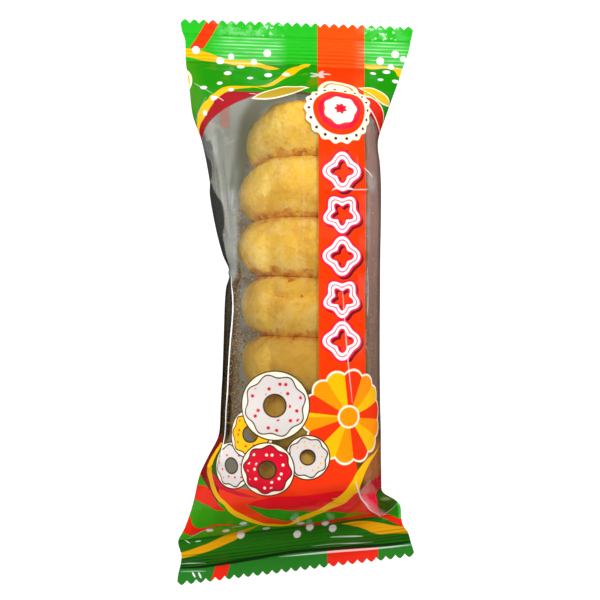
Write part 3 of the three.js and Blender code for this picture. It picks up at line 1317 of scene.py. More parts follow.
@dataclass(frozen=True)
class FilmShadeAndMarks:
    """Dull tones on the clear film where it turns down at the row's sides: painted shade and light,
    with litter and a faint tab.

    Attributes:
        halo: The line along the first doughnut beside which painted shade lies.
        halo_width: How far the dark reaches.
        notches: The gaps between the doughnuts' ends, as places and sizes, where painted shadow
            lies.
        tab: A faint brown tab at the upper left, as its middle and half its width.
    """

    halo: Outline = (
        (-24.5, 48), (-21.8, 58), (-21.4, 64), (-19.5, 71), (-15.5, 77.5), (-9, 82.5), (-1, 85.8),
        (8, 86.6),
    )
    halo_width: float = 6.5
    notches: Sequence[Triple] = (
        (-20.5, 53.6, 2.8), (-21.5, 30.2, 3.6), (-19.5, 9, 4.4), (-17.5, -13.2, 4.8),
        (-19.5, -13.4, 5.2),
    )
    specks: Sequence[Pair] = (
        (32.8, 35.5), (32.8, 39.4), (33.5, 23.9), (33.6, 17.1), (38.5, -4.2), (32.8, -5.6),
    )
    speck_size: float = 0.35
    glow: Pair = (33.5, 47.5)
    tab: Triple = (-30.6, 84, 2.6)
    body: Four = (-86, -78, 68, 76)
    panel: Pair = (28.2, 31)
    edge: Pair = (38, 43)
    halo_end: Pair = (4, 12)
    strip_sides: Four = (-28.6, -27.6, -24.4, -22)
    strip_ends: Four = (-66, -56, 6, 14)

    def lay(self, layers: Layers) -> None:
        """Lay the painted shade and light, the litter and the tab, which all of the print then
        covers.
        """
        film = layers.film
        self.litter_and_shade(layers)
        body = film.along.within(*self.body)
        blur = layers.bench.noise(film.spot, 0.2, 2) - 0.5
        # Painted shade on the right panel: brown tones for the shaded sides of the doughnuts seen
        # through it, and darker painted shade at its edge.
        panel = (film.across + blur * 1.5).rising(*self.panel) * body
        layers.veil(panel * (film.along.rising(-60, 60) * 0.24 + 0.42), Ink.TAUPE)
        layers.veil(panel * film.along.falling(-40, 30) * 0.5, Ink.BROWN)
        layers.veil((film.across + blur * 2).rising(*self.edge) * body * 0.75, Ink.SLATE)
        # A painted highlight on the right panel, and painted glints as pale specks.
        layers.veil(film.distance(*self.glow).falling(1, 6) * 0.55 * panel, Ink.PEARL)
        layers.veil(film.dots(self.specks, self.speck_size) * 0.7, Ink.PEARL)
        # Painted shade beside the first doughnut.
        layers.veil(self.near(film) * film.across.falling(*self.halo_end) * 0.6, Ink.UMBER)
        s, v, half = self.tab
        tab = (abs(film.across - s) - half).inside(0.8) * film.distance(s, v).falling(13, 15.5)
        layers.veil(tab * film.past(67) * 0.6, Ink.RUST)

    def litter_and_shade(self, layers: Layers) -> None:
        """Lay the litter and shadows between the crease and the row, and in its notches."""
        film = layers.film
        strip = film.across.within(*self.strip_sides) * film.along.within(*self.strip_ends)
        # Painted shadow in the notches between the doughnuts' ends.
        for s, v, size in self.notches:
            dark = film.distance(s, v).falling(size * 0.3, size)
            layers.veil(dark * 0.5, Ink.GAP_SHADE)
            strip = strip.high(dark * 0.8)
        # Blotchy painted shade in the gap between the crease and the row, with pale crumb specks
        # over it.
        coarse, fine = (layers.bench.noise(film.spot, scale, 3, 0.6) for scale in (0.75, 1.1))
        layers.veil(strip * (coarse.rising(0.38, 0.6) * 0.55 + 0.3), Ink.GAP_SHADE)
        layers.veil(strip * fine.rising(0.56, 0.63) * 0.6, Ink.STRAW)

    def near(self, film: FlatFilm) -> Wire:
        """Mask the band of film that lies beside the first doughnut."""
        out: Wire | float = 1000.0
        for (s, v), (right, up) in zip(self.halo[:-1], self.halo[1:]):
            run = math.hypot(right - s, up - v)
            way = ((film.across - s) * (right - s) + (film.along - v) * (up - v)) * (1 / run**2)
            way = way.high(0).low(1)
            gap_s = film.across - s - way * (right - s)
            gap_v = film.along - v - way * (up - v)
            out = (gap_s * gap_s + gap_v * gap_v).low(out)
        return (out**0.5).falling(self.halo_width * 0.2, self.halo_width)


@dataclass(frozen=True)
class SealSheen:
    """Light on the crimped top seal: pale lines along it and small patches beside its cut.

    Attributes:
        root: Where the crimped band begins, along the flat film.
        phase: Where between two lines the light lies, as an angle.
        grain: How often the light changes, across and along.
        left: Where across the film the left patch of light fades in and out.
        right: The same of the right one.
        bare: Where the light beside the cut gets weaker.
    """

    root: float = 113.8
    depth: float = 12.5
    lines: int = 8
    phase: float = 2.2
    grain: Triple = (0.09, 0.5, 1)
    left: Four = (-38, -26, -9, -3)
    right: Four = (23, 31, 44, 49)
    bare: Pair = (-17, -12)
    mark: Pair = (-10, 129)
    patch: float = 36

    def mask(self, film: FlatFilm) -> Wire:
        """Give how much the light hides the print."""
        bench, end = film.bench, self.root + self.depth
        crimped = film.along.within(self.root - 0.5, self.root + 1.5, end - 0.6, end + 0.2)
        turn = (film.along - self.root) * (math.tau * self.lines / self.depth) + self.phase
        stripe = (turn.cosine() * 0.5 + 0.5) ** 3
        where = bench.vector("MULTIPLY", film.spot, self.grain)
        uneven = bench.noise(where, 1, 2).rising(0.35, 0.62)
        lit = crimped * (stripe * 0.55 * (uneven * 0.75 + 0.25) + 0.04)
        blotch = bench.noise(film.spot, 0.24, 3, 0.6).rising(0.4, 0.6)
        blotch = blotch * (1 - film.across.rising(*self.bare) * 0.7)
        fleck = bench.noise(film.spot, 0.5, 3, 0.6).rising(0.56, 0.62)
        beside = abs(film.across - self.patch).falling(5, 9)
        flecked = film.distance(*self.mark).falling(3, 7).high(beside)
        plain = film.along.rising(end, end + 1)
        lit = lit + plain * (blotch * 0.24 + fleck * 0.8 * flecked)
        return lit * film.across.within(*self.left).high(film.across.within(*self.right))


@dataclass(frozen=True)
class TopPrint:
    """The print of the bag's upper end: green, with an arch over the window."""

    middle: float = -2
    seal_start: float = 115.5
    stripe: Four = (-38.75, 126, 0.593, 5.8)
    stripe_start: float = 120.5
    coin: Pair = (-58, 102)
    coin_radius: float = 12
    coin_rim: float = 1.2
    arch_top: Outline = (
        (0, 86), (10, 88), (16, 91.6), (24, 92), (29, 91), (33, 88), (38, 83.4), (45, 77), (60, 64),
    )
    arch_red: Outline = (
        (0, 86), (8, 86), (14, 86.2), (22, 87.6), (29, 86.4), (35, 81), (40, 76), (46, 72.6),
        (60, 62),
    )
    arch_gold: Outline = (
        (0, 86), (10, 88), (16, 90.4), (24, 89), (29, 86.4), (35, 81), (40, 76), (46, 72.6),
        (60, 62),
    )
    arch_end: Outline = (
        (0, 86), (8, 85.6), (14, 83.9), (20, 81.4), (31, 76.5), (40, 72), (45, 69), (60, 58),
    )
    wave_top: Outline = (
        (-60, 121.5), (-47, 120.5), (-39, 119.4), (-30, 116.6), (-20, 116), (-13, 114.4),
        (-7, 110.5),
    )
    wave_end: Outline = (
        (-60, 118.5), (-47, 117.1), (-40, 115.7), (-30, 114.6), (-24, 112.4), (-17, 112.2),
        (-11, 109.2), (-7, 110.5),
    )
    rise_top: Outline = (
        (-18, 91.5), (-14, 92.3), (-10, 96.3), (-7, 102.6), (-3, 111), (1.5, 114.8), (6, 115.5),
    )
    rise_end: Outline = ((-18, 91.5), (-10, 92), (-7, 95.2), (-3, 102), (1.5, 110), (6, 115.5))
    right_top: Outline = ((27, 116.3), (36, 116), (44, 115), (60, 112))
    right_end: Outline = (
        (27, 116.3), (31, 113.8), (37, 114.8), (41, 113.4), (43, 108.5), (60, 100),
    )
    large_dots: Sequence[Pair] = (
        (-42.3, 119.8), (-32.1, 115.6), (-23.4, 111.6), (-12.3, 119.5), (-28.7, 103.8),
        (-11.7, 104.2), (-40.2, 92.5), (-35.7, 84.1), (35.2, 117.8), (41.5, 120.8), (37.8, 111.7),
        (42.3, 103.6), (-4.2, 104.9),
    )
    small_dots: Sequence[Pair] = (
        (-27.5, 117.6), (-17.9, 115.7), (-19.2, 100.6), (-32.3, 95), (-27.2, 88.8), (-42.1, 77.2),
        (44.8, 118.9), (39.7, 115.5), (32.1, 109.5), (35.5, 103.9),
    )

    def lay(self, layers: Layers) -> None:
        """Print it."""
        film = layers.film
        leafy = layers.bench.mix(film.across.rising(-47, -38), Ink.MEADOW, Ink.GREEN)
        # Brighter green on the upper seal, partly where its two plies are printed over each other
        # and partly painted light.
        bright = layers.bench.mix(film.past(self.seal_start), leafy, Ink.BRIGHT)
        layers.lay(film.above(self.arch_end, self.middle), bright)
        layers.lay(film.band(self.arch_red, self.arch_end, self.middle), Ink.BRICK)
        layers.lay(film.band(self.arch_top, self.arch_gold, self.middle), Ink.YELLOW)
        for upper, lower in (
            (self.wave_top, self.wave_end),
            (self.rise_top, self.rise_end),
            (self.right_top, self.right_end),
        ):
            layers.lay(film.band(upper, lower), Ink.YELLOW)
        layers.lay(film.slanted(*self.stripe) * film.past(self.stripe_start), Ink.ORANGE)
        layers.lay(film.disc(*self.coin, self.coin_radius + self.coin_rim), Ink.CREAM)
        layers.lay(film.disc(*self.coin, self.coin_radius), Ink.YELLOW)


@dataclass(frozen=True)
class BottomPrint:
    """The print of the lower end: bands of colour crossed by a deep yellow bow.

    Attributes:
        bow_end: The bow's lower border. Each name in end is a lower one, each in top an upper.
        clear: Where along the film the print beside the right side is left out.
        dull: Where along it a brown tone lies there.
    """

    clear: Four = (-84, -74, -58, -50)
    dull: Four = (-79, -70, -60, -50)
    deep_end: float = -111
    ear_reach: Pair = (-114, -80.6)
    ear_glow: Pair = (40.3, -91.6)
    foot: Pair = (13, 34.4)
    foot_stripe: Four = (-31.3, -127, 0.3, 6.2)
    groove_width: float = 1.9
    bow_end: Outline = (
        (-60, -66), (-46, -66.5), (-44.8, -68), (-43.8, -70.2), (-41.2, -73), (-38.4, -77.2),
        (-34.8, -80.8), (-31, -84), (-28.5, -88.4), (-16.6, -102.5), (-10.2, -107.3),
        (-3.9, -109.1), (1.5, -106), (12, -94.2), (18.2, -89.2), (24.8, -77.4), (29.2, -67.8),
        (37.4, -61.1), (60, -48),
    )
    bow_top: Outline = (
        (-60, -72), (-46, -70), (-44.8, -67.8), (-42, -67.6), (-40.2, -67.8), (-39, -70.7),
        (-36.6, -74.9), (-33.7, -78.9), (-30.2, -82.1), (-26.4, -86.7), (-21.1, -93.2),
        (-15.2, -100), (-10.1, -103.9), (-4.7, -106.5), (-1.6, -104.9), (1.4, -99), (7.8, -92),
        (13.9, -84.2), (18.8, -77.4), (23.6, -69.2), (28, -64.5), (37, -60.5), (60, -47),
    )
    hook_top: Outline = (
        (-60, -70), (-46, -68.5), (-44.8, -67.4), (-44, -65.6), (-41.8, -63.2), (-37.9, -59.4),
        (-35, -57.4), (-33, -58.5), (60, -90),
    )
    hook_end: Outline = (
        (-60, -66), (-46, -66.5), (-44.8, -68.2), (-42, -68.2), (-40.2, -67.3), (-38.6, -64.2),
        (-35.9, -60.4), (-34, -57.9), (-33, -57.5), (60, -57),
    )
    window_end: Outline = (
        (-60, -56), (-46, -56.5), (-35.2, -57), (-33.4, -71), (-32.1, -72), (-27.9, -73.4),
        (-20.3, -75), (-15, -74), (-10, -70), (-4, -63), (4, -61), (20, -60), (24, -64),
        (26, -75.6), (28, -74.8), (31.7, -73.6), (37.6, -72), (60, -71),
    )
    ear_edge: Outline = ((36, -113), (34.5, -103), (35.8, -90.4), (41.4, -80.6))
    groove: Outline = (
        (-51, -125), (-48, -125.3), (-40.8, -125.9), (-35.8, -125.8), (-30.1, -125.6),
        (-19.5, -125), (-9, -124.2), (1.3, -123.9), (16.2, -124.9), (26.6, -125.5), (36.5, -126.2),
        (51, -126.1),
    )
    wedge_top: Outline = (
        (-60, -72), (-40.5, -71), (-39.5, -70), (-38.2, -70.4), (-35.3, -72), (-32.2, -73.4),
        (-29.1, -75), (-25.1, -76), (-21.1, -77.2), (-16, -79), (-14, -81), (60, -90),
    )
    wedge_end: Outline = (
        (-60, -68), (-40.5, -70), (-39.5, -70.4), (-38.1, -72), (-34.6, -75.4), (-31, -76.6),
        (-27.1, -77.6), (-21.2, -78.8), (-16, -79.2), (-14, -80), (60, -80),
    )
    crimson_top: Outline = (
        (-20.6, -84), (-13.9, -79.8), (1.6, -77.7), (19.4, -75.9), (28, -74.8), (37.6, -72),
        (60, -71),
    )
    crimson_end: Outline = (
        (-20.6, -84), (-9.8, -87.2), (1.3, -90.6), (16.4, -97.4), (29.2, -106.2), (37, -112),
        (60, -126),
    )
    sliver_end: Outline = (
        (-20.6, -84), (-14.2, -92), (-7.9, -98.5), (-3.7, -101.7), (1.4, -104), (5.9, -109.7),
        (14.3, -106.6), (23, -106.2), (29.2, -107.4), (37, -112), (60, -126),
    )
    maroon_end: Outline = ((-60, -68), (-51, -71.8), (-41, -76.5), (-30, -88))
    left_top: Outline = ((-60, -76), (-50.3, -76.2), (-40.7, -76.7), (-35.8, -81.3), (-30, -88))
    left_end: Outline = ((-60, -82), (-48.7, -82.7), (-41.7, -84.4), (-35.2, -87.2), (-30, -88))
    vee_top: Outline = (
        (-60, -78), (-48, -92), (-42, -102), (-38, -101.8), (-34.5, -99), (-30, -99.4), (-22, -105),
    )
    vee_end: Outline = (
        (-60, -104), (-47.5, -105.5), (-45, -107.8), (-41.7, -107.4), (-37, -102.7), (-33, -100.2),
        (-30, -100.8), (-22, -105),
    )
    gold_top: Outline = (
        (-60, -117.5), (-47.9, -116.9), (-40.5, -115.4), (-32.1, -112.6), (-23.8, -108.8),
        (-15, -103.5),
    )
    gold_end: Outline = (
        (-60, -121), (-47.6, -119.5), (-40.5, -118.6), (-31.3, -116.3), (-22.9, -112.6),
        (-15, -103.5),
    )
    right_red_top: Outline = (
        (-3, -110), (5.9, -110.2), (14.3, -108.4), (22.9, -107), (31.6, -107.4), (43.4, -114),
        (60, -121),
    )
    right_red_end: Outline = (
        (-3, -110), (5.9, -112), (14.5, -112.2), (22.9, -111.4), (35.2, -112.3), (43.5, -117.1),
        (60, -124),
    )
    right_gold_top: Outline = (
        (19, -113.1), (27.3, -112.9), (33.7, -114.3), (40, -116.4), (60, -121),
    )
    right_gold_end: Outline = (
        (19, -113.1), (27.3, -116), (33.5, -119.3), (40.1, -120.2), (60, -123),
    )
    dots: Sequence[Pair] = (
        (-22.1, -100.7), (-29.5, -107), (-23.4, -112.6), (-12.7, -109.4), (0.3, -115.2),
        (-36.4, -104.6), (1.8, -108.5), (12.1, -111.4), (5.6, -112.8), (15.2, -114.6),
    )

    def lay(self, layers: Layers) -> None:
        """Print it."""
        film = layers.film
        window = film.below(self.window_end)
        # Deeper green at the lower seal: painted shade.
        deep = layers.bench.mix(film.short_of(self.deep_end), Ink.FERN, Ink.DEEP)
        layers.lay(window, deep)
        layers.lay(window * film.above(self.bow_top), Ink.SCARLET)
        layers.lay(film.above(self.maroon_end) * window * film.between(-60, -34), Ink.MAROON)
        moss = film.below(self.hook_end) * film.past(-71.5) * film.between(-41, -33.6)
        layers.lay(moss, Ink.MOSS)
        for ink, upper, lower in (
            (Ink.CRIMSON, self.wedge_top, self.wedge_end),
            (Ink.CHERRY, self.crimson_top, self.crimson_end),
            (Ink.LEAF, self.crimson_end, self.sliver_end),
        ):
            layers.lay(film.band(upper, lower), ink)
        layers.spare(film.along.within(*self.clear) * film.across.rising(25, 27))
        brown = film.along.within(*self.dull) * film.across.rising(27, 29)
        layers.veil(brown * 0.62, Ink.CLAY)
        # Painted light: a brighter rose over the crimson band right of the corner.
        corner_light = film.across.rising(26, 29) * film.band(self.crimson_top, self.crimson_end)
        layers.lay(corner_light, Ink.ROSE, 0.55)
        # The ear's green with painted light and shade: moss on its shaded side left of the crease,
        # green on its lit side, a painted highlight along its rim and a painted glow spot.
        low, high = self.ear_reach
        ear = (1 - film.left_of(self.ear_edge, film.EDGE)) * film.past(low) * film.short_of(high)
        sunny = (1 - film.left_of(EAR_CREASE, 0.8)) * film.short_of(-95)
        ear_ink = layers.bench.mix(sunny, Ink.MOSS, Ink.GREEN)
        ear_ink = layers.bench.mix(sunny * film.across.rising(42.4, 44) * 0.7, ear_ink, Ink.MINT)
        glow = film.distance(*self.ear_glow).falling(0.5, 4)
        layers.lay(ear, layers.bench.mix(glow * 0.5, ear_ink, Ink.KHAKI))
        for ink, upper, lower in (
            (Ink.RED, self.left_top, self.left_end),
            (Ink.RED, self.vee_top, self.vee_end),
            (Ink.HONEY, self.gold_top, self.gold_end),
            (Ink.RED, self.right_red_top, self.right_red_end),
            (Ink.HONEY, self.right_gold_top, self.right_gold_end),
        ):
            layers.lay(film.band(upper, lower), ink)
        gold = layers.bench.mix(film.across.rising(-43, -26), Ink.HONEY, Ink.YELLOW)
        layers.lay(film.band(self.bow_top, self.bow_end), gold)
        layers.lay(film.band(self.hook_top, self.hook_end), Ink.YELLOW)
        base = film.below(self.groove)
        layers.lay(base, Ink.BASE)
        layers.lay(base * film.between(*self.foot), Ink.RED)
        layers.lay(base * film.slanted(*self.foot_stripe), Ink.RED)
        layers.lay(film.streak(self.groove, self.groove_width), Ink.SHADE)


@dataclass(frozen=True)
class Strip:
    """The orange strip along the bag, with a row of outlined flowers.

    Attributes:
        middle: The middle of the flowers, across the film.
        first: The middle of the topmost one, along it.
        pitch: From one flower to the next.
        petal: How far their petals reach, as a share of it.
        turned: How far every other flower is turned.
        outlines: The ink, width and drop of each line.
    """

    left: float = 8.8
    right: float = 28.5
    start: float = -42
    seal_start: float = 114
    middle: float = 18.2
    first: float = 51.6
    pitch: float = 16.85
    count: int = 5
    radius: float = 5.4
    petal: float = 0.17
    turned: float = 1.57
    outlines: Sequence[tuple[Ink, float, float]] = (
        (Ink.WINE, 4.4, 0.9), (Ink.ROSE, 4.6, 0), (Ink.WHITE, 2.9, 0), (Ink.ROSE, 0.5, 0),
    )

    def lay(self, layers: Layers) -> None:
        """Print it."""
        film = layers.film
        strip = film.between(self.left, self.right)
        layers.lay(strip * film.past(self.start), Ink.ORANGE)
        # Lighter orange where the strip crosses the seal: painted sheen.
        layers.lay(strip * film.past(self.seal_start), Ink.FLAME)
        top = self.first + self.pitch / 2
        row = film.past(top - self.count * self.pitch) * film.short_of(top)
        for ink, width, drop in self.outlines:
            edge = self.flower(film, drop)
            layers.lay((abs(edge) - width / 2).inside(film.EDGE) * row, ink)

    def flower(self, film: FlatFilm, drop: float) -> Wire:
        """Measure the distance from the petals' line, moved right and down by a drop."""
        place = (film.along - self.first + drop) / self.pitch + 0.5
        number = place.maths("FLOOR")
        up = (place - number - 0.5) * self.pitch
        right = film.across - (self.middle + drop)
        angle = up.maths("ARCTAN2", right)
        odd = abs(number).maths("MODULO", 2.0)
        reach = (angle * (odd + 4) + odd * self.turned).cosine() * self.petal + 1
        out = (up * up + right * right) ** 0.5
        return out - reach * self.radius


@dataclass(frozen=True)
class Badge:
    """The round badge at the head of the strip: a white ring doughnut on red.

    Attributes:
        cap: The middle of the disc behind its top, from its own.
        cap_line: The radius and half width of the line on it.
        ring: The drawn doughnut's middle radius.
        ring_half: Half the width of its icing.
        ring_rim: How far the dough shows beside it.
        icing: The number and height of the icing's waves.
    """

    s: float = 17.9
    v: float = 77.3
    radius: float = 14.5
    lobes: int = 18
    lobe_height: float = 0.45
    cap: Pair = (-0.6, 12.2)
    cap_radius: float = 8.6
    cap_line: Pair = (6.2, 0.5)
    discs: Sequence[tuple[float, Ink]] = ((11.3, Ink.ORANGE), (9.1, Ink.ROSE))
    bead_ring: float = 12.9
    bead_radius: float = 0.62
    bead_pitch: float = 4.4
    ring: float = 4.6
    ring_half: float = 2.2
    ring_rim: float = 0.7
    icing: tuple[int, float] = (7, 0.35)

    def lay(self, layers: Layers) -> None:
        """Print it."""
        film = layers.film
        out = film.distance(self.s, self.v)
        angle = film.angle(self.s, self.v)
        cap = film.distance(self.s + self.cap[0], self.v + self.cap[1])
        layers.fill(cap - self.cap_radius, Ink.CREAM)
        layers.fill(abs(cap - self.cap_line[0]) - self.cap_line[1], Ink.GOLD)
        wave = (angle * self.lobes).cosine() * self.lobe_height
        layers.fill(out - self.radius - wave, Ink.CREAM)
        for radius, ink in self.discs:
            layers.fill(out - radius, ink)
        beads = (angle * (self.lobes / math.tau) + 0.5).maths("FRACT") - 0.5
        gap = out - self.bead_ring
        bead = ((beads * self.bead_pitch) ** 2.0 + gap * gap) ** 0.5
        layers.fill(bead - self.bead_radius, Ink.OUTLINE)
        dough = abs(out - self.ring) - self.ring_half
        layers.fill(dough - self.ring_rim, Ink.ORANGE)
        layers.fill(dough - (angle * self.icing[0]).cosine() * self.icing[1], Ink.WHITE)


@dataclass(frozen=True)
class Rosette:
    """A sunburst of wedges beside the strip's lower end.

    Attributes:
        turned: How far it is turned, in wedges.
        scallop: Four times how far a scallop reaches out.
        hub: The radii of its rimmed middle.
    """

    s: float = 21
    v: float = -46
    radius: float = 17.5
    wedges: int = 14
    turned: float = 10.25
    scallop: float = 7
    rim: float = 0.9
    hub: Pair = (4.6, 3.8)

    def lay(self, layers: Layers) -> None:
        """Print it."""
        film, bench = layers.film, layers.bench
        out = film.distance(self.s, self.v)
        turn = film.angle(self.s, self.v) * (self.wedges / math.tau) + self.turned
        share = turn.maths("FRACT")
        wedge = turn.maths("FLOOR").maths("MODULO", 3.0)
        colour = bench.mix(wedge.rising(0.4, 0.6), Ink.AMBER, Ink.SCARLET)
        colour = bench.mix(wedge.rising(1.4, 1.6), colour, Ink.YELLOW)
        edge = out - self.radius - share * (1 - share) * self.scallop
        layers.fill(edge, Ink.CREAM)
        layers.fill(edge + self.rim, colour)
        for radius, ink in zip(self.hub, (Ink.CREAM, Ink.AMBER)):
            layers.fill(out - radius, ink)


@dataclass(frozen=True)
class PrintedRing:
    """One drawn ring doughnut with icing, in a dark outline.

    Attributes:
        hole: Its hole's size, as a share of its own.
        iced: The icing's size, as such a share.
        wave_height: Their height, as such a share.
        speck: A sprinkle's size, as a share of their pitch.
        margins: How far the sprinkles stay from the icing's edge and from the hole.
    """

    s: float
    v: float
    radius: float
    icing: Ink
    sprinkles: Ink
    hole: float = 0.3
    iced: float = 0.84
    waves: int = 8
    wave_height: float = 0.05
    line: float = 0.55
    cells: float = 3.2
    scatter: float = 0.6
    speck: float = 0.16
    speck_soft: float = 0.08
    margins: Pair = (1.3, 1.4)

    def lay(self, layers: Layers) -> None:
        """Print it."""
        film = layers.film
        out = film.distance(self.s, self.v)
        angle = film.angle(self.s, self.v)
        rim, hole = out - self.radius, self.radius * self.hole
        layers.fill(rim, Ink.OUTLINE)
        layers.fill(rim + self.line, Ink.CREAM)
        wave = (angle * self.waves + self.s).cosine() * (self.radius * self.wave_height)
        edge = out - self.radius * self.iced - wave
        layers.fill(edge - self.line / 2, Ink.OUTLINE)
        layers.fill(edge + self.line / 2, self.icing)
        scale = self.cells / self.radius
        inputs = {"Vector": film.spot, "Scale": scale, "Randomness": self.scatter}
        cells = layers.bench.node("ShaderNodeTexVoronoi", {"voronoi_dimensions": "2D"}, inputs)
        outer, inner = self.margins
        iced = (edge + outer).inside(film.EDGE) * (hole + inner - out).inside(film.EDGE)
        layers.lay((cells - self.speck).inside(self.speck_soft) * iced, self.sprinkles)
        layers.fill(out - hole - self.line, Ink.OUTLINE)
        layers.spare((out - hole).inside(film.EDGE))


@dataclass(frozen=True)
class Leaf:
    """One pointed leaf with a pale rim.

    Attributes:
        lean: Its rise for each millimetre to the right.
        rim: The width of its rim.
    """

    s: float
    v: float
    length: float
    width: float
    lean: float
    ink: Ink
    rim: float = 0.8

    def lay(self, layers: Layers) -> None:
        """Print it."""
        right = layers.film.across - self.s
        reach = right * (2 / self.length)
        half = (1 - reach * reach) * (self.width / 2)
        edge = abs(layers.film.along - right * self.lean - self.v) - half
        layers.fill(edge - self.rim, Ink.CREAM)
        layers.fill(edge, self.ink)


@dataclass(frozen=True)
class FrontPrint:
    """All the print of the front sheet, with the painted light and shade laid among it.

    Attributes:
        spark: The middle of the small spark over the leaves.
        spark_size: Its middle radius.
        spark_reach: How far its points reach beyond that.
    """

    leaves: Sequence[Leaf] = (
        Leaf(-6.5, 86, 21, 6.2, 0.36, Ink.GOLD),
        Leaf(37, 88.5, 20, 6.5, -0.5, Ink.YELLOW),
        Leaf(38.6, 78, 25, 8.5, -0.62, Ink.RED),
    )
    rings: Sequence[PrintedRing] = (
        PrintedRing(-27, -66, 9.6, Ink.PEARL, Ink.RED),
        PrintedRing(4.5, -62, 9, Ink.PEARL, Ink.YELLOW),
        PrintedRing(-18.5, -53, 9.8, Ink.YELLOW, Ink.RED),
        PrintedRing(-11.5, -67, 11, Ink.CRIMSON, Ink.CREAM),
        PrintedRing(-8.5, -41.5, 14, Ink.PEARL, Ink.CRIMSON),
    )
    spark: Pair = (9.5, 105)
    spark_size: float = 3.1
    spark_reach: float = 1.6
    spark_points: int = 5
    large_dot: float = 1.6
    small_dot: float = 1.25

    def lay(self, layers: Layers) -> None:
        """Print it in order, the ends first and the dots last."""
        film = layers.film
        top, bottom = TopPrint(), BottomPrint()
        for drawn in (FilmShadeAndMarks(), top, bottom, Strip(), *self.leaves):
            drawn.lay(layers)
        wave = (film.angle(*self.spark) * self.spark_points).cosine() * self.spark_reach
        layers.fill(film.distance(*self.spark) - wave - self.spark_size, Ink.PEARL)
        for drawn in (Badge(), Rosette(), *self.rings):
            drawn.lay(layers)
        layers.lay(film.dots(top.large_dots, self.large_dot), Ink.WHITE)
        layers.lay(film.dots(top.small_dots, self.small_dot), Ink.WHITE)
        layers.lay(film.dots(bottom.dots, self.large_dot), Ink.PEARL)


